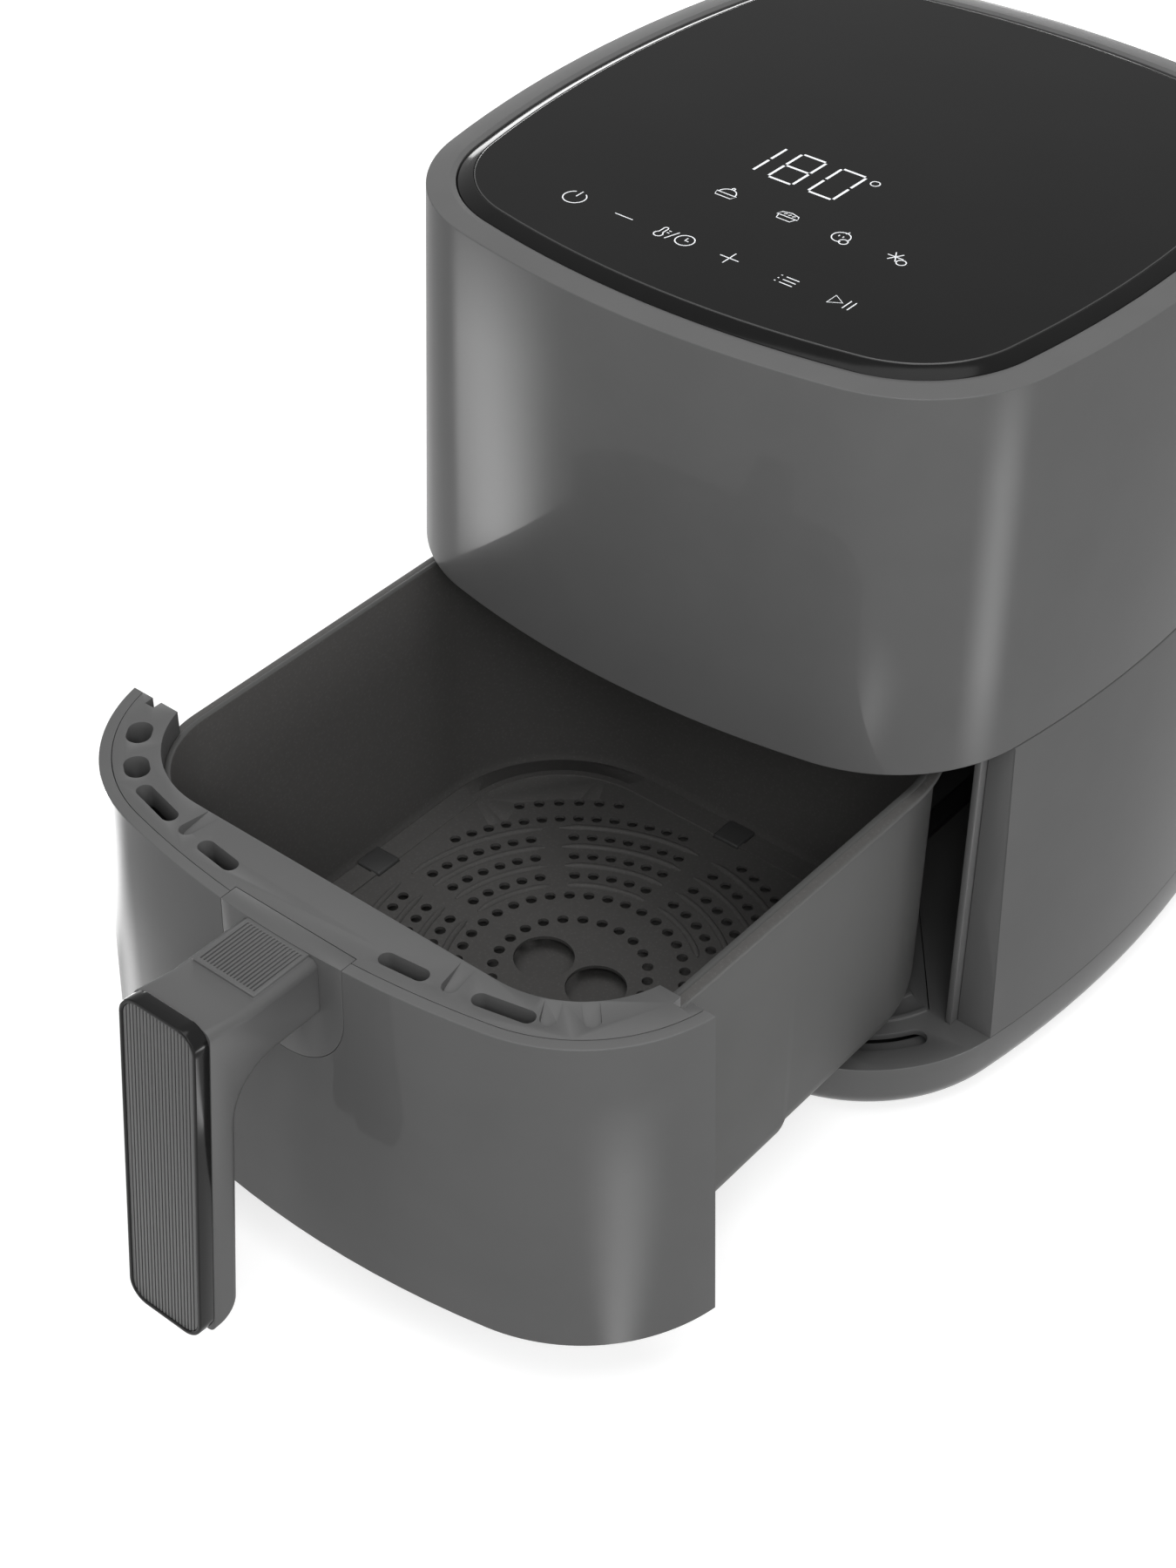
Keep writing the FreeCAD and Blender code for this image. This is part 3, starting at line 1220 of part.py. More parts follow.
def make_handle():
    """Mount, handle, frame, ribbed insert and screws."""
    level = "dims.drawer_top - dims.mount_drop + 9"
    screws, holes = [], []
    inner_y = ("-dims.half_depth - dims.draft_slope * (dims.upper_top - dims.drawer_top)"
               " + dims.mount_thickness")
    for number, side in enumerate((1, -1), 1):
        x = "%d * dims.handle_screw_x" % side
        shank = cylinder("handle_shank_%d" % number, (x, inner_y, level), "dims.screw_radius",
                         "dims.handle_screw_length", V(0, -1, 0))
        head = cylinder("handle_head_%d" % number, (x, inner_y, level), "dims.screw_head",
                        "dims.screw_head_height", V(0, 1, 0))
        screws.append(fuse("handle_screw_%d" % number, shank, head))
        holes.append(cylinder("handle_hole_%d" % number, (x, inner_y + " + 6", level),
                              "dims.screw_radius + dims.screw_gap", "dims.handle_screw_length + 8",
                              V(0, -1, 0)))
    bored = group("handle_holes", holes)
    outer = doc.getObject("front_outer")
    flat = box("mount_block", ("-dims.mount_half - 5", "-dims.half_depth - 80", "0"),
               ("2 * dims.mount_half + 10", "80 + dims.mount_thickness"
                " - dims.draft_slope * (dims.upper_top - dims.drawer_top)", "dims.upper_top"))
    plate = common("mount_plate", common("mount_wall", outer, flat), mount_prism("mount_shape", None))
    pulled(cut("handle_mount", plate, bored), "handle_mount")
    pulled(group("handle_screws", screws), "handle_screws")

    lean, reach, low = size("handle_lean"), size("handle_reach"), size("handle_low")
    joint, back = size("joint_reach") - size("insert_gap"), size("handle_reach") - size("grip_depth")
    neck_high = size("drawer_top") - size("neck_drop")

    def leaning(base, z):
        return -(base - lean * (z - low))

    crest = size("handle_high") - size("frame_corner") / 4
    wall = -size("half_depth") + 2
    body = new_body("handle_solid")
    side = on_plane(body, "handle_side", "YZ_Plane")
    shoulder = leaning(joint, crest) + 2 * size("frame_corner")
    polygon_in(side, [(wall, size("neck_low")), (leaning(back, size("neck_low")), size("neck_low")),
                      (leaning(back, low), low), (leaning(joint, low), low), (leaning(joint, crest), crest),
                      (shoulder, neck_high), (wall, neck_high)])
    feature(body, "Pad", "handle_block", side, Length="2 * dims.handle_half").Midplane = True
    doc.recompute()
    block = body.Tip.Shape

    def edges_where(shape, test):
        return ["Edge%d" % number for number, edge in enumerate(shape.Edges, 1) if test(edge)]

    def across_at(y, z):
        return lambda edge: (edge.BoundBox.YLength < 0.01 and edge.BoundBox.ZLength < 0.01
                             and abs(edge.BoundBox.YMin - y) < 0.01 and abs(edge.BoundBox.ZMin - z) < 0.01)

    bend = body.newObject("PartDesign::Fillet", "neck_bend")
    corner = across_at(leaning(back, size("neck_low")), size("neck_low"))
    bend.Base = (body.getObject("handle_block"), edges_where(block, corner))
    bind(bend, Radius="dims.neck_round")
    doc.recompute()
    tail = body.newObject("PartDesign::Fillet", "grip_tail")
    tail.Base = (bend, edges_where(bend.Shape, across_at(leaning(back, low), low)))
    bind(tail, Radius="dims.grip_round")
    doc.recompute()
    half = size("handle_half")

    def side_edge(edge):
        box_of = edge.BoundBox
        flat_side = box_of.XLength < 0.01 and abs(abs(box_of.XMin) - half) < 0.01
        middle = edge.valueAt((edge.FirstParameter + edge.LastParameter) / 2)
        at_wall = middle.y > wall - 0.01
        at_joint = abs(middle.y - leaning(joint, middle.z)) < 0.01
        return flat_side and not at_wall and not at_joint

    soft = body.newObject("PartDesign::Fillet", "handle_edges")
    soft.Base = (tail, edges_where(tail.Shape, side_edge))
    bind(soft, Radius="dims.edge_round")
    doc.recompute()
    top = "dims.drawer_top - dims.neck_drop"
    pad = on_plane(body, "thumb_pad_sketch", "XY_Plane", top + " - 0.4")
    span = size("thumb_pitch") * (size("thumb_grooves") - 1) / 2 + size("thumb_border")
    ribbed_end = -size("thumb_start") - size("thumb_length")
    rectangle_in(pad, -span, span, ribbed_end - size("thumb_border"), wall)
    feature(body, "Pad", "thumb_pad", pad, Length="dims.thumb_height + 0.4")
    groove = on_plane(body, "thumb_groove_sketch", "XY_Plane", top + " + dims.thumb_height")
    first = -size("thumb_pitch") * (size("thumb_grooves") - 1) / 2
    rectangle_in(groove, first - size("thumb_groove_width") / 2, first + size("thumb_groove_width") / 2,
                 ribbed_end, -size("thumb_start"))
    furrow = feature(body, "Pocket", "thumb_groove", groove, Length="dims.thumb_groove_depth")
    repeat = body.newObject("PartDesign::LinearPattern", "thumb_grooves")
    repeat.Originals = [furrow]
    repeat.Direction = (origin(body, "X_Axis"), [""])
    bind(repeat, Length="dims.thumb_pitch * (dims.thumb_grooves - 1)", Occurrences="dims.thumb_grooves")
    body.Tip = repeat
    pulled(cut("handle_body", body, outer, bored), "handle_body")

    angle = math.degrees(math.atan(lean))
    tall = (size("handle_high") - low) / math.cos(math.atan(lean))
    thick = size("frame_depth") * math.cos(math.atan(lean))
    leant = FreeCAD.Rotation(V(1, 0, 0), -angle)

    def leaning_body(name):
        made = new_body(name)
        made.Placement = FreeCAD.Placement(V(0, -size("joint_reach"), low), leant)
        bind(made, Placement__Base__z="dims.handle_low")
        raised[made.Name] = "-dims.joint_reach"
        return made

    frame = leaning_body("handle_bezel")
    front = on_plane(frame, "bezel_sketch", "XZ_Plane")
    rounded_in(front, half, 0, tall, size("frame_corner"))
    pad = feature(frame, "Pad", "bezel_pad", front)
    pad.Length = thick
    recess = on_plane(frame, "bezel_recess_sketch", "XZ_Plane", "%f" % thick)
    edge = size("frame_width")
    rounded_in(recess, half - edge, edge, tall - edge, size("frame_corner") - edge)
    feature(frame, "Pocket", "bezel_recess", recess, Length="dims.insert_depth")
    pulled(frame, "handle_bezel")

    insert = leaning_body("handle_insert")
    front = on_plane(insert, "insert_sketch", "XZ_Plane", "%f - dims.insert_depth" % thick)
    edge += size("insert_gap")
    rounded_in(front, half - edge, edge, tall - edge, size("frame_corner") - edge)
    feature(insert, "Pad", "insert_pad", front, Length="dims.insert_thickness")
    groove = on_plane(insert, "groove_sketch", "XZ_Plane",
                      "%f - dims.insert_depth + dims.insert_thickness" % thick)
    width = 2 * (half - edge)
    pitch = width / (size("groove_count") + 1)
    first = -width / 2 + pitch
    rectangle_in(groove, first - size("groove_width") / 2, first + size("groove_width") / 2, 0, tall)
    cutter = feature(insert, "Pocket", "insert_groove", groove, Length="dims.groove_depth")
    repeat = insert.newObject("PartDesign::LinearPattern", "insert_grooves")
    repeat.Originals = [cutter]
    repeat.Direction = (origin(insert, "X_Axis"), [""])
    repeat.Length = pitch * (size("groove_count") - 1)
    bind(repeat, Occurrences="dims.groove_count")
    insert.Tip = repeat
    pulled(insert, "handle_insert")


def sector_angles(count, step):
    """Angles of a ring's holes, in even groups between the plate's eight radial breaks."""
    offsets = [step * (index - (count - 1) / 2) for index in range(count)]
    return [22.5 + 45.0 * sector + offset for sector in range(8) for offset in offsets]


def corner_angles(count, middle, step):
    """Angles of a ring's holes, in four groups at the plate's corners."""
    right = [middle + step * (index - (count - 1) / 2) for index in range(count)]
    return right + [180 - a for a in right] + [180 + a for a in right] + [-a for a in right]


def make_crisper():
    """Perforated plate and its bumpers."""
    rings = (
        ("ring_first", [15.0 * index for index in range(24)]),
        ("ring_second", [10.0 * index for index in range(36)]),
        ("ring_third", sector_angles(5, 7.7)),
        ("ring_fourth", sector_angles(6, 6.35)),
        ("ring_fifth", sector_angles(7, 5.4)),
        ("ring_sixth", corner_angles(14, size("corner_heading"), 4.7)),
        ("ring_seventh", corner_angles(6, size("corner_heading"), 4.7)),
    )
    edge = ("crisper_gap",)
    plate = new_body("crisper_body")
    sketch = tub("crisper_plan", "crisper_low", edge, plate)
    for name, angles in rings:
        for angle in angles:
            turned = math.radians(angle)
            centre = V(size(name) * math.cos(turned), size(name) * math.sin(turned), 0)
            sketch.addGeometry(Part.Circle(centre, V(0, 0, 1), size("crisper_hole")), False)
    for side in (1, -1):
        centre = V(side * size("finger_spacing"), 0, 0)
        sketch.addGeometry(Part.Circle(centre, V(0, 0, 1), size("finger_hole")), False)
    feature(plate, "Pad", "crisper_pad", sketch, Length="dims.crisper_thickness")
    ridge = tub("crisper_ridge_plan", "crisper_top", ("crisper_gap", "ridge_inset"), plate)
    add_tub(ridge, "crisper_top", ("crisper_gap", "ridge_inset", "ridge_width"))
    feature(plate, "Pad", "crisper_ridge", ridge, Length="dims.ridge_height")

    half = size("basket_half") + tub_grow("crisper_low", edge)
    rear = size("basket_rear") + tub_grow("crisper_low", edge)
    front = size("basket_front") + tub_grow("crisper_low", edge)
    seats = ((half, 0, 1, 0), (-half, 0, -1, 0), (0, rear, 0, 1), (0, -front, 0, -1))
    bumpers, notches = [], []
    for number, (x, y, out_x, out_y) in enumerate(seats, 1):
        turn = FreeCAD.Rotation(V(0, 0, 1), math.degrees(math.atan2(out_y, out_x)))
        spot = FreeCAD.Placement(V(x, y, 0), turn)
        wide, deep = size("bumper_width"), size("bumper_length")
        clip = bumper_block("bumper_clip_%d" % number, spot, V(-deep, -wide / 2, 0),
                            ("dims.bumper_length + dims.bumper_out", "dims.bumper_width",
                             "dims.crisper_thickness + dims.bumper_rise"), "dims.crisper_low")
        foot = bumper_block("bumper_foot_%d" % number, spot, V(-deep, -wide / 2, 0),
                            ("dims.bumper_foot", "dims.bumper_width",
                             "dims.crisper_low - dims.floor_top - dims.fit_gap"),
                            "dims.floor_top + dims.fit_gap")
        bumpers.append(fuse("bumper_%d" % number, clip, foot))
        gap = size("bumper_gap")
        notches.append(bumper_block("bumper_notch_%d" % number, spot, V(-deep - gap, -wide / 2 - gap, 0),
                                    ("dims.bumper_length + dims.bumper_gap + 20",
                                     "dims.bumper_width + 2 * dims.bumper_gap", "30"),
                                    "dims.crisper_low - 10"))
    pulled(cut("crisper_plate", plate, group("bumper_notches", notches)), "crisper_plate")
    pulled(group("crisper_bumpers", bumpers), "crisper_bumpers")


def bumper_block(name, spot, corner, extent, level):
    """A block of a bumper, set against the plate's edge."""
    item = doc.addObject("Part::Box", name)
    bind(item, Length=extent[0], Width=extent[1], Height=extent[2])
    item.Placement = FreeCAD.Placement(spot.multVec(corner), spot.Rotation)
    bind(item, Placement__Base__z=level)
    return item


make_base()
make_lower_shell()
make_upper_shell()
make_chamber()
make_rotor()
make_electrics()
make_drawer()
make_handle()
make_crisper()
doc.recompute()

for item in doc.Objects:
    if "Invalid" in item.State or "Error" in item.State:
        raise RuntimeError("%s failed: %s" % (item.Name, item.State))
os.makedirs("parts", exist_ok=True)
for item in pieces:
    shape = item.Shape
    if shape.isNull() or not shape.isValid() or not shape.Solids:
        raise RuntimeError("bad solid: " + item.Label)
    shape.exportStep("parts/%s.step" % item.Label)
    print(item.Label, len(shape.Solids), round(shape.Volume / 1000.0, 2))
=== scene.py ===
"""An air fryer with its drawer pulled out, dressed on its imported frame."""
import json
import logging
import math
from contextlib import contextmanager
from dataclasses import dataclass, field
from enum import Enum
from typing import Iterator, Optional, Sequence

import bpy
from bpy.types import Camera, Light, Material, Node, NodeSocket, Object, World
from mathutils import Matrix, Vector
from mathutils.kdtree import KDTree

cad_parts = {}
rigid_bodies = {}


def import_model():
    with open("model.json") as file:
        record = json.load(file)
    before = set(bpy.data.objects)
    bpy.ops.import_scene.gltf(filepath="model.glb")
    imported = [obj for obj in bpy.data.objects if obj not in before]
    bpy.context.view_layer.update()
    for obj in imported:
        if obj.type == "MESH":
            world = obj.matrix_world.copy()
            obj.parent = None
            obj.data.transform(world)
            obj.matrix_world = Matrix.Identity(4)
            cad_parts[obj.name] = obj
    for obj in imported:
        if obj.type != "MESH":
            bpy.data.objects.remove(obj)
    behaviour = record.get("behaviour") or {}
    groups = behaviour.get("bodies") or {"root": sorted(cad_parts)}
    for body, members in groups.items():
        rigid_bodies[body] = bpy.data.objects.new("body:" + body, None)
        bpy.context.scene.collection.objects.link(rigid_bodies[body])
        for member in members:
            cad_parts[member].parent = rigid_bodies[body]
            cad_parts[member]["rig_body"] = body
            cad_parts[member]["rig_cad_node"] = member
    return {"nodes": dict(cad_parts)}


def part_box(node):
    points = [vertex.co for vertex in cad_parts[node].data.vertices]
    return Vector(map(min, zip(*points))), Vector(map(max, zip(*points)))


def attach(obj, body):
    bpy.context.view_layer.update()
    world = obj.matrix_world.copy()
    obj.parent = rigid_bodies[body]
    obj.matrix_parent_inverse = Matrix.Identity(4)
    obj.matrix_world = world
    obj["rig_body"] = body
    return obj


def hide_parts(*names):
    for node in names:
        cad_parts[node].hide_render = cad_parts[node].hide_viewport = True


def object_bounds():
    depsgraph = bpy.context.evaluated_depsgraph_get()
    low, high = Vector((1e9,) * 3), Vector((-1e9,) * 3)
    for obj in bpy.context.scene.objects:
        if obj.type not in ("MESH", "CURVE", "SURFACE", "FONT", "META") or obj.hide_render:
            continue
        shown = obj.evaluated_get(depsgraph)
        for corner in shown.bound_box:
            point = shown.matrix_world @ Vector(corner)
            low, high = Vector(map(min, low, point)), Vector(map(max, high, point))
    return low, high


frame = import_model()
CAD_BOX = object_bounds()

LOG = logging.getLogger("air_fryer")
MM = 0.001
SHARP = math.radians(50.0)  # edges that turn more are rounded
FLAT = math.radians(0.4)  # faces that differ less become one
MERGED = 0.002 * MM  # points that lie closer become one
SEEN = ("Is Camera Ray", "Is Glossy Ray", "Is Transmission Ray")
NOISE_LOW, NOISE_HIGH = 0.3, 0.7  # between them lies most of a noise
FULL_TURN = 360.0  # in degrees
HALF_TURN = 0.5  # as a radial gradient counts turns
Point = tuple[float, float]
Triple = tuple[float, float, float]
Colour = Triple


class Body(Enum):
    """The bodies that pieces ride on."""

    HOUSING = "housing"
    ROTOR = "rotor"
    DRAWER = "drawer"
    CRISPER = "crisper"
    PLUNGER = "plunger"


class Grain(Enum):
    """The kinds of fine surface that a finish can have."""

    MOULDED = "moulded"
    SPECKLED = "speckled"
    BRUSHED = "brushed"


# Finishes


def grey(level: float) -> Colour:
    """A neutral colour."""
    return level, level, level


class Tree:
    """A node tree, built step by step."""

    def __init__(self, owner: Material | World) -> None:
        """Take the tree of a material or of the world."""
        owner.use_nodes = True
        self.nodes, self.links = owner.node_tree.nodes, owner.node_tree.links

    def node(self, kind: str, inputs: dict[str | int, object], **settings: object) -> Node:
        """A new node.

        Args:
            kind: the node's kind, without the word that starts all of them.
            inputs: for each input, a socket to link or a value to set.
            settings: the node's own settings.

        Returns:
            The node.
        """
        node = self.nodes.new("ShaderNode" + kind)
        for name, value in settings.items():
            setattr(node, name, value)
        for key, value in inputs.items():
            if isinstance(value, NodeSocket):
                self.links.new(value, node.inputs[key])
            else:
                node.inputs[key].default_value = value
        return node

    def maths(self, operation: str, *terms: NodeSocket | float) -> NodeSocket:
        """The result of one operation on sockets and values."""
        return self.node("Math", dict(enumerate(terms)), operation=operation).outputs[0]

    def seen(self, path: Node) -> NodeSocket:
        """1 for rays from the camera, off gloss or through glass, else 0."""
        camera, gloss, through = (path.outputs[name] for name in SEEN)
        return self.maths("ADD", self.maths("ADD", camera, gloss), through)


class Shade(Tree):
    """The node tree of one new material."""

    def __init__(self, name: str) -> None:
        """Start a material with a shader and object coordinates.

        Args:
            name: the material's name.
        """
        self.material: Material = bpy.data.materials.new(name)
        super().__init__(self.material)
        self.shader = self.nodes["Principled BSDF"]
        self.place = self.node("TexCoord", {}).outputs["Object"]

    def stretched(self, scale: Triple) -> NodeSocket:
        """Object coordinates stretched by a factor along each axis."""
        return self.node("Mapping", {"Vector": self.place, "Scale": scale}).outputs["Vector"]

    def noise(self, size: float, detail: float = 3.0, place: Optional[NodeSocket] = None) -> NodeSocket:
        """Soft noise with features of about one size, with finer layers, laid on coordinates."""
        inputs = {"Vector": place or self.place, "Scale": 1.0 / size, "Detail": detail}
        return self.node("TexNoise", inputs).outputs["Fac"]

    def cells(self, size: float) -> NodeSocket:
        """Distance to points scattered about one size apart, for specks."""
        return self.node("TexVoronoi", {"Vector": self.place, "Scale": 1.0 / size}).outputs["Distance"]

    def length(self, place: NodeSocket) -> NodeSocket:
        """How far coordinates lie from their origin."""
        return self.node("VectorMath", {0: place}, operation="LENGTH").outputs["Value"]

    def ramp(self, factor: NodeSocket, stops: Sequence[tuple[float, Colour]]) -> NodeSocket:
        """Colours along a factor.

        Args:
            factor: what chooses the colour.
            stops: places along the factor and their colours.

        Returns:
            The colour.
        """
        node = self.node("ValToRGB", {"Fac": factor})
        elements = node.color_ramp.elements
        while len(elements) < len(stops):
            elements.new(0.5)
        for element, (place, colour) in zip(elements, stops):
            element.position = place
            element.color = (*colour, 1.0)
        return node.outputs["Color"]

    def span(self, factor: NodeSocket, low: float, high: float) -> NodeSocket:
        """A noise's usual range stretched between two values."""
        ends = {"From Min": NOISE_LOW, "From Max": NOISE_HIGH, "To Min": low, "To Max": high}
        return self.node("MapRange", {"Value": factor, **ends}).outputs["Result"]

    def bump(self, height: NodeSocket, depth: float) -> NodeSocket:
        """The normal bumped by a height, with its depth in metres."""
        return self.node("Bump", {"Height": height, "Distance": depth, "Strength": 1.0}).outputs["Normal"]

    def feed(self, name: str, socket: NodeSocket) -> None:
        """Link a socket to one of the shader's inputs."""
        self.links.new(socket, self.shader.inputs[name])

    def fix(self, **values: object) -> None:
        """Set inputs of the shader that are the same all over."""
        for name, value in values.items():
            self.shader.inputs[name.replace("_", " ")].default_value = value


_made: dict[str, Material] = {}


@dataclass(frozen=True)
class Look:
    """How a surface looks: its colour, its material, which is made once, and its slot."""

    name: str
    slot: str
    colour: Colour

    def material(self) -> Material:
        """The look's material.

        Returns:
            The material, made at the first call.
        """
        if self.name not in _made:
            shade = Shade(self.name)
            self.paint(shade)
            _made[self.name] = shade.material
        return _made[self.name]

    def paint(self, shade: Shade) -> None:
        """Build the material's nodes."""
        raise NotImplementedError

    def toned(self, factor: float) -> Colour:
        """The colour, paler or darker by a factor."""
        return tuple(part * factor for part in self.colour)


@dataclass(frozen=True)
class Finish(Look):
    """One finish, with its colour, its gloss and its grain."""

    roughness: tuple[float, float]
    grain: Grain = Grain.MOULDED
    shift: float = 0.06
    metallic: float = 0.0
    specular: float = 0.5
    coat: float = 0.0
    coat_roughness: float = 0.1
    grain_size: float = 0.6 * MM
    grain_depth: float = 0.02 * MM
    mottle_size: float = 30.0 * MM
    mottle_stops: Point = (0.35, 0.65)
    speck: Colour = grey(0.1)
    speck_spacing: float = 3.0
    speck_stops: Point = (0.16, 0.3)
    brush: Triple = (40.0, 40.0, 1.0)

    def paint(self, shade: Shade) -> None:
        """Colour with mottle or specks, gloss with mottle, and a fine grain.

        Args:
            shade: the material's tree.
        """
        mottle = shade.noise(self.mottle_size)
        low, high = self.toned(1.0 - self.shift), self.toned(1.0 + self.shift)
        if self.grain is Grain.SPECKLED:
            specks = shade.cells(self.grain_size * self.speck_spacing)
            near, far = self.speck_stops
            stops = [(0.0, self.speck), (near, self.speck), (far, self.colour), (1.0, low)]
            shade.feed("Base Color", shade.ramp(specks, stops))
        else:
            stops = list(zip(self.mottle_stops, (low, high)))
            shade.feed("Base Color", shade.ramp(mottle, stops))
        if self.grain is Grain.BRUSHED:
            fine = shade.noise(self.grain_size, detail=4.0, place=shade.stretched(self.brush))
        else:
            fine = shade.noise(self.grain_size, detail=2.0)
        shade.feed("Roughness", shade.span(mottle, *self.roughness))
        shade.feed("Normal", shade.bump(fine, self.grain_depth))
        shade.fix(Metallic=self.metallic, Specular_IOR_Level=self.specular, Coat_Weight=self.coat,
                  Coat_Roughness=self.coat_roughness)


@dataclass(frozen=True)
class LitMark(Look):
    """The pale backlit print of the touch panel."""

    glow: float = 0.22
    roughness: float = 0.3
    cloud_size: float = 2.0 * MM
    cloud_tone: float = 0.93

    def paint(self, shade: Shade) -> None:
        """A faint glow with slightly uneven colour.

        Args:
            shade: the material's tree.
        """
        stops = [(NOISE_LOW, self.toned(self.cloud_tone)), (NOISE_HIGH, self.colour)]
        colour = shade.ramp(shade.noise(self.cloud_size), stops)
        shade.feed("Base Color", colour)
        shade.feed("Emission Color", colour)
        shade.fix(Emission_Strength=self.glow, Roughness=self.roughness)


SATIN_GREY = Finish("satin_grey", "shell_grey", grey(0.115), (0.28, 0.31), shift=0.02, specular=0.03,
                    coat=0.12, coat_roughness=0.04, grain_size=0.45 * MM, grain_depth=0.006 * MM)
MATT_GREY = Finish("matt_grey", "shell_grey", grey(0.087), (0.44, 0.48), shift=0.02, specular=0.3,
                   grain_size=0.5 * MM, grain_depth=0.012 * MM)
BASE_GREY = Finish("base_grey", "shell_grey", grey(0.076), (0.3, 0.34), shift=0.02, specular=0.4,
                   coat=0.2, coat_roughness=0.08, grain_size=0.45 * MM, grain_depth=0.006 * MM)
GLOSS_BLACK = Finish("gloss_black", "gloss_black", grey(0.006), (0.10, 0.16), specular=0.1,
                     grain_size=1.2 * MM, grain_depth=0.002 * MM)
FRAME_BLACK = Finish("frame_black", "gloss_black", grey(0.008), (0.1, 0.15), specular=0.15,
                     grain_size=1.2 * MM, grain_depth=0.002 * MM)
TOUCH_GLASS = Finish("touch_glass", "touch_glass", grey(0.006), (0.03, 0.07), specular=0.07,
                     grain_size=8.0 * MM, grain_depth=0.001 * MM, mottle_size=45.0 * MM)
# Paler and rougher than the glass, for its bevel faces: a painted highlight line along the glass's edge.
GLASS_EDGE_HIGHLIGHT = Finish("glass_edge_painted_highlight", "touch_glass", grey(0.03), (0.25, 0.3), grain_size=0.4 * MM,
                    grain_depth=0.004 * MM)
INSERT_GREY = Finish("insert_grey", "insert_grey", grey(0.086), (0.38, 0.46), grain_size=0.4 * MM,
                     grain_depth=0.012 * MM)
DARK_COAT = Finish("dark_coat", "basket_coat", (0.078, 0.076, 0.074), (0.4, 0.5), grain=Grain.SPECKLED,
                   specular=0.1, speck=(0.09, 0.088, 0.086), grain_size=0.5 * MM)
OUTER_COAT = Finish("outer_coat", "basket_coat", (0.06, 0.06, 0.059), (0.42, 0.48), shift=0.03, specular=0.2,
                    grain_size=0.5 * MM, grain_depth=0.015 * MM)
LINER_GREY = Finish("liner_grey", "inner_black", grey(0.085), (0.5, 0.62), grain_depth=0.03 * MM)
MATT_BLACK = Finish("matt_black", "inner_black", (0.018, 0.018, 0.019), (0.5, 0.62), grain_depth=0.03 * MM)
BUMPER = Finish("bumper_rubber", "rubber_black", grey(0.04), (0.5, 0.6), grain_size=0.8 * MM, specular=0.35)
RUBBER = Finish("black_rubber", "rubber_black", grey(0.02), (0.68, 0.8), grain_size=0.8 * MM,
                grain_depth=0.04 * MM, specular=0.3)
STEEL = Finish("plain_steel", "steel", (0.55, 0.55, 0.56), (0.28, 0.4), grain=Grain.BRUSHED, metallic=1.0,
               grain_size=12.0 * MM, grain_depth=0.01 * MM)
SHEET_STEEL = Finish("rolled_sheet", "sheet_steel", (0.6, 0.6, 0.61), (0.3, 0.42), grain=Grain.BRUSHED,
                     metallic=1.0, grain_size=20.0 * MM, grain_depth=0.01 * MM, brush=(1.0, 1.0, 30.0))
ALUMINIUM = Finish("stamped_aluminium", "sheet_aluminium", (0.74, 0.74, 0.75), (0.34, 0.46),
                   grain=Grain.BRUSHED, metallic=1.0, grain_size=15.0 * MM, grain_depth=0.01 * MM,
                   brush=(20.0, 1.0, 1.0))
MOTOR_PAINT = Finish("motor_paint", "motor_paint", (0.16, 0.16, 0.17), (0.45, 0.6), grain_depth=0.03 * MM)
BOARD_GREEN = Finish("board_green", "board_green", (0.02, 0.13, 0.055), (0.3, 0.4), shift=0.2,
                     mottle_size=6.0 * MM)
PANEL_PRINT = LitMark("panel_print", "touch_glass", (0.82, 0.84, 0.86))


# Tools for making meshes


def deselect() -> None:
    """Leave edit mode and select nothing."""
    if bpy.context.object is not None and bpy.context.object.mode != "OBJECT":
        bpy.ops.object.mode_set(mode="OBJECT")
    bpy.ops.object.select_all(action="DESELECT")


def activate(piece: Object) -> None:
    """Make a piece the only selected and the active object.

    Args:
        piece: the piece.
    """
    deselect()
    piece.select_set(True)
    bpy.context.view_layer.objects.active = piece


@contextmanager
def editing(piece: Object) -> Iterator[None]:
    """Edit mode on one piece, with vertices as the selection.

    Args:
        piece: the piece to edit.

    Yields:
        Nothing.
    """
    activate(piece)
    bpy.ops.object.mode_set(mode="EDIT")
    bpy.ops.mesh.select_mode(type="VERT")
    yield
    bpy.ops.object.mode_set(mode="OBJECT")


def pick(piece: Object, chosen: set[int]) -> None:
    """Select vertices of a piece, and the edges between them.

    Args:
        piece: the piece.
        chosen: the numbers of the vertices.
    """
    for face in piece.data.polygons:
        face.select = False
    for edge in piece.data.edges:
        edge.select = edge.vertices[0] in chosen and edge.vertices[1] in chosen
    for vertex in piece.data.vertices:
        vertex.select = vertex.index in chosen


def sweep(name: str, rings: Sequence[Sequence[Vector]], closed: bool = False) -> Object:
    """Extrude a ring of points through further rings of as many points.

    Args:
        name: the piece's name.
        rings: the rings, in order.
        closed: join the last ring to the first, instead of closing both ends with a face.

    Returns:
        The piece.
    """
    count = len(rings[0])
    deselect()
    bpy.ops.mesh.primitive_circle_add(vertices=count, radius=1.0)
    piece = bpy.context.object
    piece.name = piece.data.name = name
    for vertex, point in zip(piece.data.vertices, rings[0]):
        vertex.co = point
    for number, ring in enumerate(rings[1:], 1):
        with editing(piece):
            bpy.ops.mesh.extrude_edges_move()
        tree = KDTree(count)
        for index, point in enumerate(rings[number - 1]):
            tree.insert(point, index)
        tree.balance()
        for vertex in piece.data.vertices[count * number:]:
            vertex.co = ring[tree.find(vertex.co)[1]]
    last = count * (len(rings) - 1)
    ends = (set(range(count)), set(range(last, last + count)))
    if closed:
        pick(piece, ends[0] | ends[1])
        with editing(piece):
            bpy.ops.mesh.bridge_edge_loops()
    else:
        for end in ends:
            pick(piece, end)
            with editing(piece):
                bpy.ops.mesh.edge_face_add()
    outward(piece)
    return piece


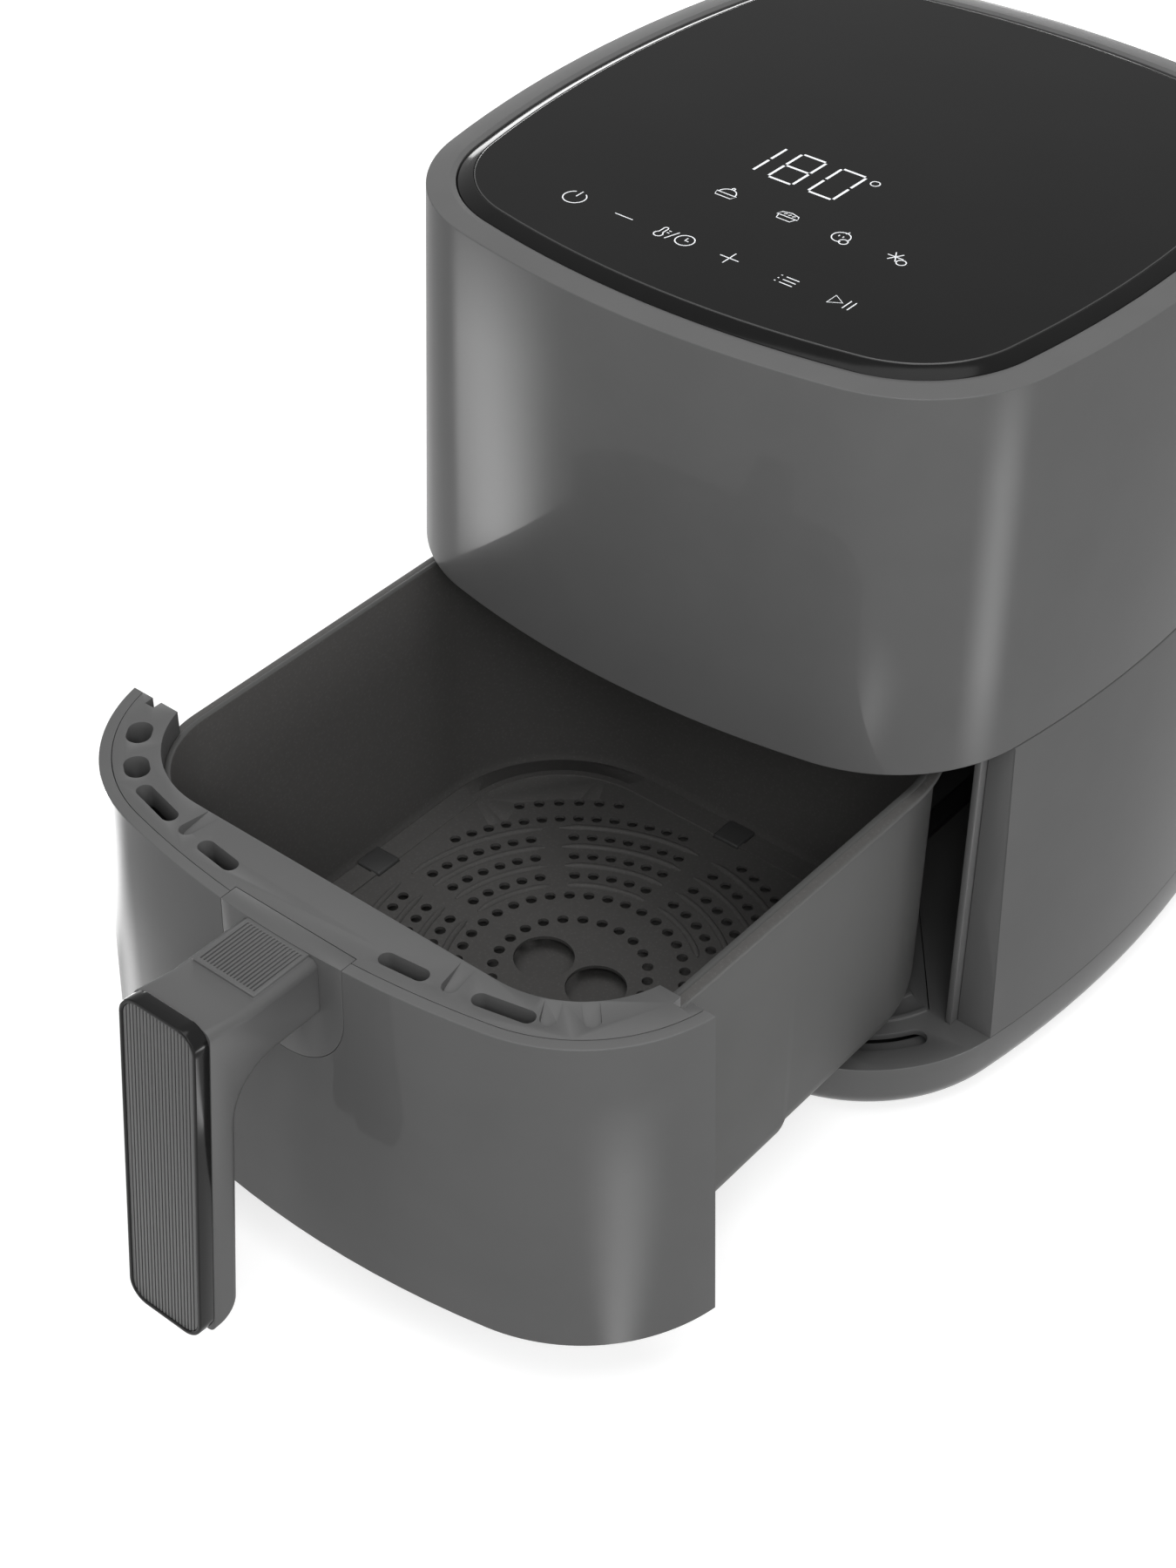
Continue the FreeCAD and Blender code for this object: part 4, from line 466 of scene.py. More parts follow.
def outward(piece: Object) -> None:
    """Turn all faces of a closed piece outwards.

    Args:
        piece: the piece.
    """
    with editing(piece):
        bpy.ops.mesh.select_all(action="SELECT")
        bpy.ops.mesh.normals_make_consistent(inside=False)


def smooth(piece: Object, degrees: float = 32.0) -> None:
    """Shade a piece smooth where its faces meet at less than an angle."""
    activate(piece)
    bpy.ops.object.shade_smooth_by_angle(angle=math.radians(degrees))


def bevelled(piece: Object, width: float, segments: int = 2, clamp: bool = True) -> None:
    """Round the sharp edges of a piece.

    Args:
        piece: the piece.
        width: the width of the rounding in metres.
        segments: how many faces the rounding has.
        clamp: keep roundings from running into each other.
    """
    activate(piece)
    modifier = piece.modifiers.new("rounding", "BEVEL")
    modifier.width = width
    modifier.segments = segments
    modifier.limit_method = "ANGLE"
    modifier.angle_limit = SHARP
    modifier.use_clamp_overlap = clamp
    bpy.ops.object.modifier_apply(modifier=modifier.name)


def carve(piece: Object, cutter: Object) -> None:
    """Take a cutter away from a piece and delete the cutter.

    Args:
        piece: the piece.
        cutter: the closed shape to take away.
    """
    activate(piece)
    modifier = piece.modifiers.new("carving", "BOOLEAN")
    modifier.operation = "DIFFERENCE"
    modifier.solver = "EXACT"
    modifier.object = cutter
    bpy.ops.object.modifier_apply(modifier=modifier.name)
    bpy.data.objects.remove(cutter)


def halved(piece: Object, place: Vector, away: Vector) -> None:
    """Cut a piece along a plane, drop the side the plane faces and close the cut.

    Args:
        piece: the piece.
        place: a point of the plane.
        away: the direction of the side that goes.
    """
    with editing(piece):
        bpy.ops.mesh.select_all(action="SELECT")
        bpy.ops.mesh.bisect(plane_co=place, plane_no=away, clear_outer=True, use_fill=True)
    outward(piece)


def joined(name: str, parts: Sequence[Object]) -> Object:
    """Make several pieces one object.

    Args:
        name: the name of the result.
        parts: the pieces.

    Returns:
        The joined piece.
    """
    deselect()
    for part in parts:
        part.select_set(True)
    bpy.context.view_layer.objects.active = parts[0]
    if len(parts) > 1:
        bpy.ops.object.join()
    parts[0].name = parts[0].data.name = name
    return parts[0]


def block(name: str, low: Vector, high: Vector) -> Object:
    """A block between two corners, with its place in its mesh.

    Args:
        name: the piece's name.
        low: the low corner.
        high: the high corner.

    Returns:
        The piece.
    """
    deselect()
    bpy.ops.mesh.primitive_cube_add(size=1.0, location=(low + high) / 2)
    piece = bpy.context.object
    piece.name = piece.data.name = name
    piece.scale = high - low
    bpy.ops.object.transform_apply(location=True, rotation=True, scale=True)
    return piece


def softened(node: str, width: float, segments: int = 2, clamp: bool = True) -> Object:
    """A copy of a CAD node with its flat faces merged and its edges rounded.

    Args:
        node: the node.
        width: the width of the rounding in metres.
        segments: how many faces the rounding has.
        clamp: keep roundings from running into each other.

    Returns:
        The piece.
    """
    activate(frame["nodes"][node])
    bpy.ops.object.duplicate()
    piece = bpy.context.object
    piece.name = piece.data.name = node + "_skin"
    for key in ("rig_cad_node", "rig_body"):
        if key in piece:
            del piece[key]
    piece.parent = None
    with editing(piece):
        bpy.ops.mesh.select_all(action="SELECT")
        bpy.ops.mesh.remove_doubles(threshold=MERGED)
        bpy.ops.mesh.dissolve_limited(angle_limit=FLAT)
    bevelled(piece, width, segments, clamp)
    smooth(piece)
    return piece


def rounded(corners: Sequence[Point], radii: Sequence[float], steps: int = 5) -> list[Point]:
    """A closed outline with its corners rounded.

    Args:
        corners: the sharp corners, in order.
        radii: the radius at each corner; 0 keeps it sharp.
        steps: how many edges each rounding has.

    Returns:
        The points of the outline.
    """
    points: list[Point] = []
    total = len(corners)
    for index, (corner, radius) in enumerate(zip(corners, radii)):
        here = Vector(corner)
        before = (Vector(corners[index - 1]) - here).normalized()
        after = (Vector(corners[(index + 1) % total]) - here).normalized()
        half = before.angle(after) / 2
        if radius <= 0.0 or abs(half - math.pi / 2) < 1e-4:
            points.append(corner)
            continue
        run = radius / math.tan(half)
        centre = here + (before + after).normalized() * (radius / math.sin(half))
        start, end = here + before * run - centre, here + after * run - centre
        turn = start.angle_signed(end)
        for step in range(steps + 1):
            spoke = start.copy()
            spoke.rotate(Matrix.Rotation(-turn * step / steps, 2))
            points.append(tuple(centre + spoke))
    return points


def dress(piece: Object, finish: Look, body: Body, *nodes: str) -> None:
    """Give a new piece its finish, its body and the nodes it stands for.

    Args:
        piece: the piece.
        finish: its finish.
        body: the body it rides on.
        nodes: the CAD nodes it replaces.
    """
    piece.data.materials.clear()
    piece.data.materials.append(finish.material())
    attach(piece, body.value)
    if nodes:
        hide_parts(*nodes)
    LOG.info("made %s with %d faces", piece.name, len(piece.data.polygons))


def cover(node: str, finish: Finish, body: Body, width: float, segments: int = 2, clamp: bool = True) -> None:
    """Show a CAD node by its softened copy, with a finish, on a body."""
    dress(softened(node, width, segments, clamp), finish, body, node)


def carry(node: str, finish: Finish) -> None:
    """Give a CAD node that stays in sight its finish.

    Args:
        node: the node.
        finish: its finish.
    """
    materials = frame["nodes"][node].data.materials
    materials.clear()
    materials.append(finish.material())
    LOG.info("kept %s", node)


# Plans


@dataclass(frozen=True)
class Station:
    """A point of a plan and the way out from it."""

    x: float
    y: float
    out_x: float
    out_y: float

    def at(self, out: float, level: float) -> Vector:
        """The point moved outwards, at a level."""
        return Vector((self.x + self.out_x * out, self.y + self.out_y * out, level))


def ways(start: float, end: float, steps: int) -> list[Point]:
    """Unit directions from one angle to another, in equal steps."""
    angles = [start + (end - start) * step / steps for step in range(steps + 1)]
    return [(math.cos(angle), math.sin(angle)) for angle in angles]


def arc_stations(x: float, y: float, radius: float, start: float, end: float, steps: int) -> list[Station]:
    """Stations along an arc round a centre, from one angle to another."""
    return [Station(x + radius * a, y + radius * b, a, b) for a, b in ways(start, end, steps)]


@dataclass(frozen=True)
class BodyPlan:
    """The plan of the body: eight tangent arcs, wider downwards."""

    centre_y: float
    top: float
    half_width: float = 140.0 * MM
    half_depth: float = 146.9 * MM
    front_radius: float = 390.4 * MM
    side_radius: float = 481.8 * MM
    corner_radius: float = 63.9 * MM
    slope: float = 0.035
    side_steps: int = 14
    corner_steps: int = 26

    def meeting(self) -> tuple[float, float, float, float]:
        """Where the arcs meet.

        Returns:
            The corner's centre, seen from the middle, and the two angles at its ends.
        """
        side_x, front_y = self.half_width - self.side_radius, self.half_depth - self.front_radius
        near, far = self.side_radius - self.corner_radius, self.front_radius - self.corner_radius
        apart = math.hypot(side_x, front_y)
        along = (near ** 2 - far ** 2 + apart ** 2) / (2 * apart)
        across = math.sqrt(near ** 2 - along ** 2)
        unit = Vector((-side_x, front_y)) / apart
        foot = Vector((side_x, 0.0)) + unit * along
        side = Vector((-unit.y, unit.x)) * across
        x, y = max(foot + side, foot - side, key=sum)
        return x, y, math.atan2(y, x - side_x), math.atan2(y - front_y, x)

    def stations(self) -> list[Station]:
        """All round the plan, from the right side's front end.

        Returns:
            The stations.
        """
        x, y, low, high = self.meeting()
        side, front = self.half_width - self.side_radius, self.half_depth - self.front_radius
        few, many, radius, mid = self.side_steps, self.corner_steps, self.corner_radius, self.centre_y
        found: list[Station] = []
        for sign, turn in ((1.0, 0.0), (-1.0, math.pi)):
            over, here = turn + math.pi, mid + sign * y
            arcs = (
                (sign * side, mid, self.side_radius, turn - low, turn + low, few),
                (sign * x, here, radius, turn + low, turn + high, many),
                (0.0, mid + sign * front, self.front_radius, turn + high, over - high, few),
                (-sign * x, here, radius, over - high, over - low, many),
            )
            for arc in arcs:
                found += arc_stations(*arc)[:-1]
        return found

    def ring(self, inset: float, level: float) -> list[Vector]:
        """The plan's points at a level, drawn in by an inset."""
        out = self.slope * (self.top - level) - inset
        return [station.at(out, level) for station in self.stations()]

    def shell(self, name: str, corners: Sequence[Point], radii: Sequence[float]) -> Object:
        """A rounded profile of insets and levels, carried all round the plan."""
        return sweep(name, [self.ring(*point) for point in rounded(corners, radii)], closed=True)

    def side_at(self, y: float, inset: float, level: float) -> float:
        """Distance from the middle plane to the wall of the corner at a depth.

        Args:
            y: the depth, from the middle.
            inset: how far inside the wall's face.
            level: the level.

        Returns:
            The distance.
        """
        x, corner_y, _, _ = self.meeting()
        radius = self.corner_radius + self.slope * (self.top - level) - inset
        return x + math.sqrt(radius ** 2 - (abs(y) - corner_y) ** 2)


@dataclass(frozen=True)
class TubPlan:
    """The plan of the basket: four sides with rounded corners, narrower downwards."""

    centre_y: float
    rim: float
    half: float = 113.0 * MM
    front: float = 119.0 * MM
    rear: float = 117.0 * MM
    fore: float = 42.0 * MM
    aft: float = 62.0 * MM
    slope: float = 0.0087
    steps: int = 26
    step_at: float = -10.0 * MM
    step_half: float = 2.0 * MM
    step_parts: int = 8

    def breaks(self) -> list[float]:
        """Depths on the long sides at which the underside steps down, from front to rear."""
        parts = self.step_parts
        return [self.step_at + self.step_half * (2 * part / parts - 1) for part in range(parts + 1)]

    def stations(self) -> list[Station]:
        """All round the plan, from the right rear corner.

        Returns:
            The stations.
        """
        quarter, mid = math.pi / 2, self.centre_y
        corners = (
            (self.half - self.aft, self.rear - self.aft, self.aft),
            (self.aft - self.half, self.rear - self.aft, self.aft),
            (self.fore - self.half, self.fore - self.front, self.fore),
            (self.half - self.fore, self.fore - self.front, self.fore),
        )
        found: list[Station] = []
        for number, (x, y, radius) in enumerate(corners):
            start, end = number * quarter, (number + 1) * quarter
            found += arc_stations(x, mid + y, radius, start, end, self.steps)
            if number % 2:
                side = number - 2
                depths = self.breaks()[::side]
                found += [Station(side * self.half, mid + depth, side, 0.0) for depth in depths]
        return found

    def ahead(self, y: float) -> float:
        """How far a depth lies in the lower front part.

        Args:
            y: the depth.

        Returns:
            0 behind the step, 1 in front of it, and between them on it.
        """
        past = self.step_at + self.step_half - y + self.centre_y
        share = min(max(past / (2 * self.step_half), 0.0), 1.0)
        return share * share * (3.0 - 2.0 * share)

    def ring(self, inset: float, level: float) -> list[Vector]:
        """The plan's points at a level, drawn in by an inset."""
        out = self.slope * (level - self.rim) - inset
        return [station.at(out, level) for station in self.stations()]


# Sub-assemblies


@dataclass
class Housing:
    """Upper shell, lower shell, base and what shows of the cavity."""

    plan: BodyPlan
    wall: float = 2.6 * MM
    lip_width: float = 11.0 * MM
    lip_crest: float = 8.8 * MM
    lip_rise: float = 0.8 * MM
    lip_fall: float = 0.4 * MM
    lip_thickness: float = 3.0 * MM
    upper_radii: tuple[float, ...] = (
        0.7 * MM, 0.5 * MM, 0.6 * MM, 0.3 * MM, 0.2 * MM, 0.5 * MM, 0.3 * MM)
    lower_radii: tuple[float, ...] = (0.5 * MM, 0.7 * MM, 0.3 * MM, 0.3 * MM)
    vent_gap: float = 0.3 * MM
    vent_reach: float = 10.0 * MM
    shell_cut: float = 88.2 * MM
    web: float = 2.6 * MM
    web_edge: float = 126.7 * MM
    web_margin: float = 0.25 * MM
    web_proud: float = 0.05 * MM
    web_rounding: float = 0.4 * MM
    slot_near: float = 25.0
    slot_far: float = 68.5
    slot_inner: float = 53.5 * MM
    slot_outer: float = 62.0 * MM
    slot_depth: float = 7.0 * MM
    slot_steps: int = 14
    floor_thickness: float = 1.0 * MM

    def build(self) -> None:
        """Make every piece of the housing."""
        self.upper_shell()
        self.lower_shell()
        self.base()
        self.cavity()

    def upper_shell(self) -> None:
        """The upper shell with its sloped lip and its rear window."""
        low, top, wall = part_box("upper_shell")[0].z, self.plan.top, self.wall
        roof = top - self.lip_thickness
        crest = top + self.lip_rise
        corners = ((0.0, low), (0.0, top), (self.lip_crest, crest), (self.lip_width, crest - self.lip_fall),
                   (self.lip_width, roof), (wall, roof), (wall, low))
        shell = self.plan.shell("upper_shell_skin", corners, self.upper_radii)
        near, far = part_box("rear_vent")
        room = Vector((self.vent_gap, self.vent_reach, self.vent_gap))
        carve(shell, block("vent_cutter", near - room, far + room))
        smooth(shell)
        dress(shell, SATIN_GREY, Body.HOUSING, "upper_shell")
        cover("rear_vent", MATT_BLACK, Body.HOUSING, width=0.3 * MM)

    def lower_shell(self) -> None:
        """The lower shell, open in front, with a return face on either side."""
        low, high = (corner.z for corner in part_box("lower_shell"))
        corners = ((0.0, low), (0.0, high), (self.wall, high), (self.wall, low))
        shell = self.plan.shell("lower_shell_skin", corners, self.lower_radii)
        cut = self.plan.centre_y - self.shell_cut
        halved(shell, Vector((0.0, cut, 0.0)), Vector((0.0, -1.0, 0.0)))
        parts = [shell]
        near, far, edge = cut - self.web_proud, cut + self.web, self.web_edge
        for side in (1.0, -1.0):
            rings = []
            for level in (low, high):
                wall = self.plan.side_at(self.shell_cut, self.web_margin, level)
                outline = ((edge, near), (wall, near), (wall, far), (edge, far))
                rings.append([Vector((side * x, y, level)) for x, y in outline])
            web = sweep("return_face", rings)
            bevelled(web, width=self.web_rounding)
            parts.append(web)
        piece = joined("lower_shell_skin", parts)
        smooth(piece)
        dress(piece, SATIN_GREY, Body.HOUSING, "lower_shell")

    def base(self) -> None:
        """Base tray, bottom cover and feet."""
        cover("base_tray", BASE_GREY, Body.HOUSING, width=0.5 * MM, clamp=False)
        self.slot_floors()
        cover("bottom_cover", MATT_BLACK, Body.HOUSING, width=0.4 * MM)
        cover("feet", RUBBER, Body.HOUSING, width=1.2 * MM, segments=3)
        cover("cord_gland", RUBBER, Body.HOUSING, width=0.8 * MM, segments=3)

    def slot_floors(self) -> None:
        """The floors of the two air slots, under the base's top."""
        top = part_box("base_tray")[1].z - self.slot_depth
        low, near, far = top - self.floor_thickness, self.slot_inner, self.slot_outer
        section = ((near, top), (far, top), (far, low), (near, low))
        x, y, _, _ = self.plan.meeting()
        middle = self.plan.centre_y - y
        around = ways(math.radians(self.slot_near), math.radians(self.slot_far), self.slot_steps)
        parts = []
        for side in (1.0, -1.0):
            rings = [[Vector((side * (x + out * a), middle - out * b, level)) for out, level in section]
                     for a, b in around]
            parts.append(sweep("slot_floor", rings))
        piece = joined("air_slot_floors", parts)
        smooth(piece)
        dress(piece, BASE_GREY, Body.HOUSING)

    def cavity(self) -> None:
        """Liner and runners."""
        cover("cavity_liner", LINER_GREY, Body.HOUSING, width=0.5 * MM)
        for node in ("left_runner", "right_runner"):
            cover(node, MATT_BLACK, Body.HOUSING, width=1.0 * MM, segments=3)


@dataclass
class TouchPanel:
    """The black bevelled band, the glass and its print."""

    plan: BodyPlan
    edge: float = 11.3 * MM
    glass_inset: float = 17.5 * MM
    ledge: float = 22.5 * MM
    bezel_radii: tuple[float, ...] = (0.3 * MM, 1.2 * MM, 0.35 * MM, 0.0, 0.3 * MM, 0.3 * MM)
    glass_gap: float = 0.05 * MM
    glass_bevel: float = 0.5 * MM
    bevel_share: float = 0.3
    glass_smooth: float = 20.0
    bevel_slopes: Point = (0.2, 0.98)
    print_height: float = 0.05 * MM
    stroke: float = 0.42 * MM
    digit_stroke: float = 1.0 * MM
    digit_width: float = 11.0
    digit_height: float = 22.0
    digit_gap: float = 0.7
    digits: tuple[tuple[str, float], ...] = (("bc", -32.5), ("abcdefg", -14.5), ("abcdef", 3.5))
    degree_mark: Triple = (14.0, -19.0, 1.8)
    number_row: float = -28.0
    programme_row: float = -59.2
    control_row: float = -96.3
    arc_step: float = 15.0

    def build(self) -> None:
        """Make the panel's pieces."""
        self.bezel()
        self.glass()
        self.marks()

    def bezel(self) -> None:
        """The bevelled band round the glass."""
        low, high = (corner.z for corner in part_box("top_bezel"))
        seat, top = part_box("glass_panel")[0].z, self.plan.top
        corners = ((self.edge, low), (self.edge, top), (self.glass_inset, high), (self.glass_inset, seat),
                   (self.ledge, seat), (self.ledge, low))
        piece = self.plan.shell("top_bezel_skin", corners, self.bezel_radii)
        smooth(piece)
        dress(piece, GLOSS_BLACK, Body.HOUSING, "top_bezel")

    def glass(self) -> None:
        """The flat glass, its bevel in a paler finish that paints a highlight line along its edge."""
        low, high = (corner.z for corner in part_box("glass_panel"))
        inset, bevel = self.glass_inset + self.glass_gap, self.glass_bevel
        part = bevel * self.bevel_share
        places = ((inset, low), (inset, high - bevel), (inset + part, high - part), (inset + bevel, high))
        piece = sweep("glass_panel_skin", [self.plan.ring(*place) for place in places])
        smooth(piece, self.glass_smooth)
        dress(piece, TOUCH_GLASS, Body.HOUSING, "glass_panel")
        # Painted highlight: the bevel faces take the paler edge finish.
        piece.data.materials.append(GLASS_EDGE_HIGHLIGHT.material())
        steep, flat = self.bevel_slopes
        for face in piece.data.polygons:
            face.material_index = int(steep < face.normal.z < flat)

    def ribbon(self, points: Sequence[Point], loop: bool = False, width: float = 0.0) -> Object:
        """A flat printed line on the glass.

        Args:
            points: its middle line in millimetres, from the middle of the body.
            loop: join its ends.
            width: its width, if it isn't the usual one.

        Returns:
            The line.
        """
        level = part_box("glass_panel")[1].z
        high = level + self.print_height
        half, mid = (width or self.stroke) / 2, self.plan.centre_y
        line = [Vector(point) * MM for point in points]
        rings = []
        for index, here in enumerate(line):
            before = line[index - 1] if loop or index else here
            after = line[(index + 1) % len(line)] if loop or index + 1 < len(line) else here
            along = (after - before).normalized()
            side = Vector((-along.y, along.x)) * half
            left, right = here + side, here - side
            rings.append([Vector((p.x, p.y + mid, z))
                          for p, z in ((left, level), (left, high), (right, high), (right, level))])
        return sweep("printed_line", rings, closed=loop)

    def circle(self, x: float, y: float, radius: float, start: float = 0.0, end: float = FULL_TURN) -> Object:
        """A printed circle or arc.

        Args:
            x: its centre across.
            y: its centre in depth.
            radius: its radius.
            start: the angle where it starts, in degrees.
            end: the angle where it ends.

        Returns:
            The line.
        """
        loop = end - start >= FULL_TURN
        steps = max(6, int((end - start) / self.arc_step))
        around = ways(math.radians(start), math.radians(end), steps)
        if loop:
            around.pop()
        return self.ribbon([(x + radius * a, y + radius * b) for a, b in around], loop)

    def drawn(self, x: float, y: float, points: Sequence[Point], loop: bool = False) -> Object:
        """A printed line of a symbol, with its points given from the symbol's middle."""
        return self.ribbon([(x + a, y + b) for a, b in points], loop)

    def digit(self, lit: str, x: float, y: float) -> list[Object]:
        """One digit of seven bars.

        Args:
            lit: the bars that are lit, lettered clockwise from the top, with g in the middle.
            x: its middle across.
            y: its middle in depth.

        Returns:
            The bars.
        """
        left, right = x - self.digit_width / 2, x + self.digit_width / 2
        low, top, gap = y - self.digit_height / 2, y + self.digit_height / 2, self.digit_gap
        bars = {
            "a": ((left + gap, top), (right - gap, top)), "b": ((right, top - gap), (right, y + gap)),
            "c": ((right, y - gap), (right, low + gap)), "d": ((left + gap, low), (right - gap, low)),
            "e": ((left, y - gap), (left, low + gap)), "f": ((left, top - gap), (left, y + gap)),
            "g": ((left + gap, y), (right - gap, y)),
        }
        return [self.ribbon(bars[name], width=self.digit_stroke) for name in lit]

    def marks(self) -> None:
        """The printed symbols and the number shown on the panel."""
        parts = self.controls(self.control_row) + self.programmes(self.programme_row)
        for lit, x in self.digits:
            parts += self.digit(lit, x, self.number_row)
        parts.append(self.circle(*self.degree_mark))
        dress(joined("panel_print", parts), PANEL_PRINT, Body.HOUSING)

    def controls(self, row: float) -> list[Object]:
        """Power, minus, heat and time, plus, list, and start.

        Args:
            row: the depth of their row.

        Returns:
            The lines.
        """
        power, minus, dial, plus, menu, start = -64.0, -41.1, -17.7, 6.2, 31.0, 54.4
        parts = [self.circle(power, row, 4.4, 120.0, 420.0), self.drawn(power, row, [(0.0, 0.8), (0.0, 5.0)])]
        parts += [self.drawn(x, row, [(-4.0, 0.0), (4.0, 0.0)]) for x in (minus, plus)]
        parts.append(self.drawn(plus, row, [(0.0, -4.0), (0.0, 4.0)]))
        bulb, clock = dial - 6.2, dial + 4.2
        parts += [self.circle(bulb, row - 2.0, 1.7, 120.0, 420.0),
                  self.circle(bulb, row + 2.6, 0.85, 0.0, 180.0)]
        parts += [self.drawn(bulb, row, [(a, -0.5), (a, 2.6)]) for a in (-0.85, 0.85)]
        parts += [self.drawn(bulb, row, [(1.9, b), (2.9, b)]) for b in (0.6, 2.0)]
        parts.append(self.drawn(dial, row, [(-2.6, -3.2), (-0.6, 3.2)]))
        parts += [self.circle(clock, row, 3.6), self.drawn(clock, row, [(0.0, 2.0), (0.0, 0.0), (1.6, 0.0)])]
        for b in (-2.2, 0.0, 2.2):
            parts += [self.drawn(menu, row, [(a, b), (c, b)]) for a, c in ((-1.6, 3.8), (-3.8, -3.2))]
        parts.append(self.drawn(start, row, [(-4.4, -2.9), (0.3, 0.0), (-4.4, 2.9)], True))
        parts += [self.drawn(start, row, [(a, -2.9), (a, 2.9)]) for a in (2.0, 4.1)]
        return parts

    def programmes(self, row: float) -> list[Object]:
        """The symbols of the cooking programmes.

        Args:
            row: the depth of their row.

        Returns:
            The lines.
        """
        pan, pie, fruit, frost = -23.2, 4.0, 27.5, 51.4
        parts = [self.drawn(pan, row, [(-3.4, -2.6), (3.4, -2.6), (4.4, -0.2), (-4.4, -0.2)], True),
                 self.circle(pan, row - 0.2, 3.6, 0.0, 180.0), self.circle(pan, row + 4.1, 0.6)]
        crust = [(-4.5, -0.2), (-3.6, 2.0), (0.0, 3.0), (3.6, 2.0), (4.5, -0.2)]
        dish = [(-3.7, -0.2), (-2.9, -2.8), (2.9, -2.8), (3.7, -0.2)]
        parts += [self.drawn(pie, row, crust, True), self.drawn(pie, row, dish)]
        parts += [self.drawn(pie, row, [(a, 0.9), (a + 1.0, 1.7)]) for a in (-2.2, -0.4, 1.4)]
        parts += [self.circle(fruit, row, 3.5, -20.0, 300.0), self.circle(fruit + 2.6, row - 2.4, 1.7),
                  self.drawn(fruit, row, [(0.0, 2.9), (0.7, 4.6)])]
        parts += [self.drawn(fruit, row, [(a, 0.0), (a, 0.9)]) for a in (-1.2, 0.6)]
        for turn in (0.0, 60.0, 120.0):
            a, b = 3.3 * math.cos(math.radians(turn)), 3.3 * math.sin(math.radians(turn))
            parts.append(self.drawn(frost - 1.0, row + 0.6, [(-a, -b), (a, b)]))
        parts.append(self.circle(frost + 2.9, row - 1.7, 1.8))
        return parts


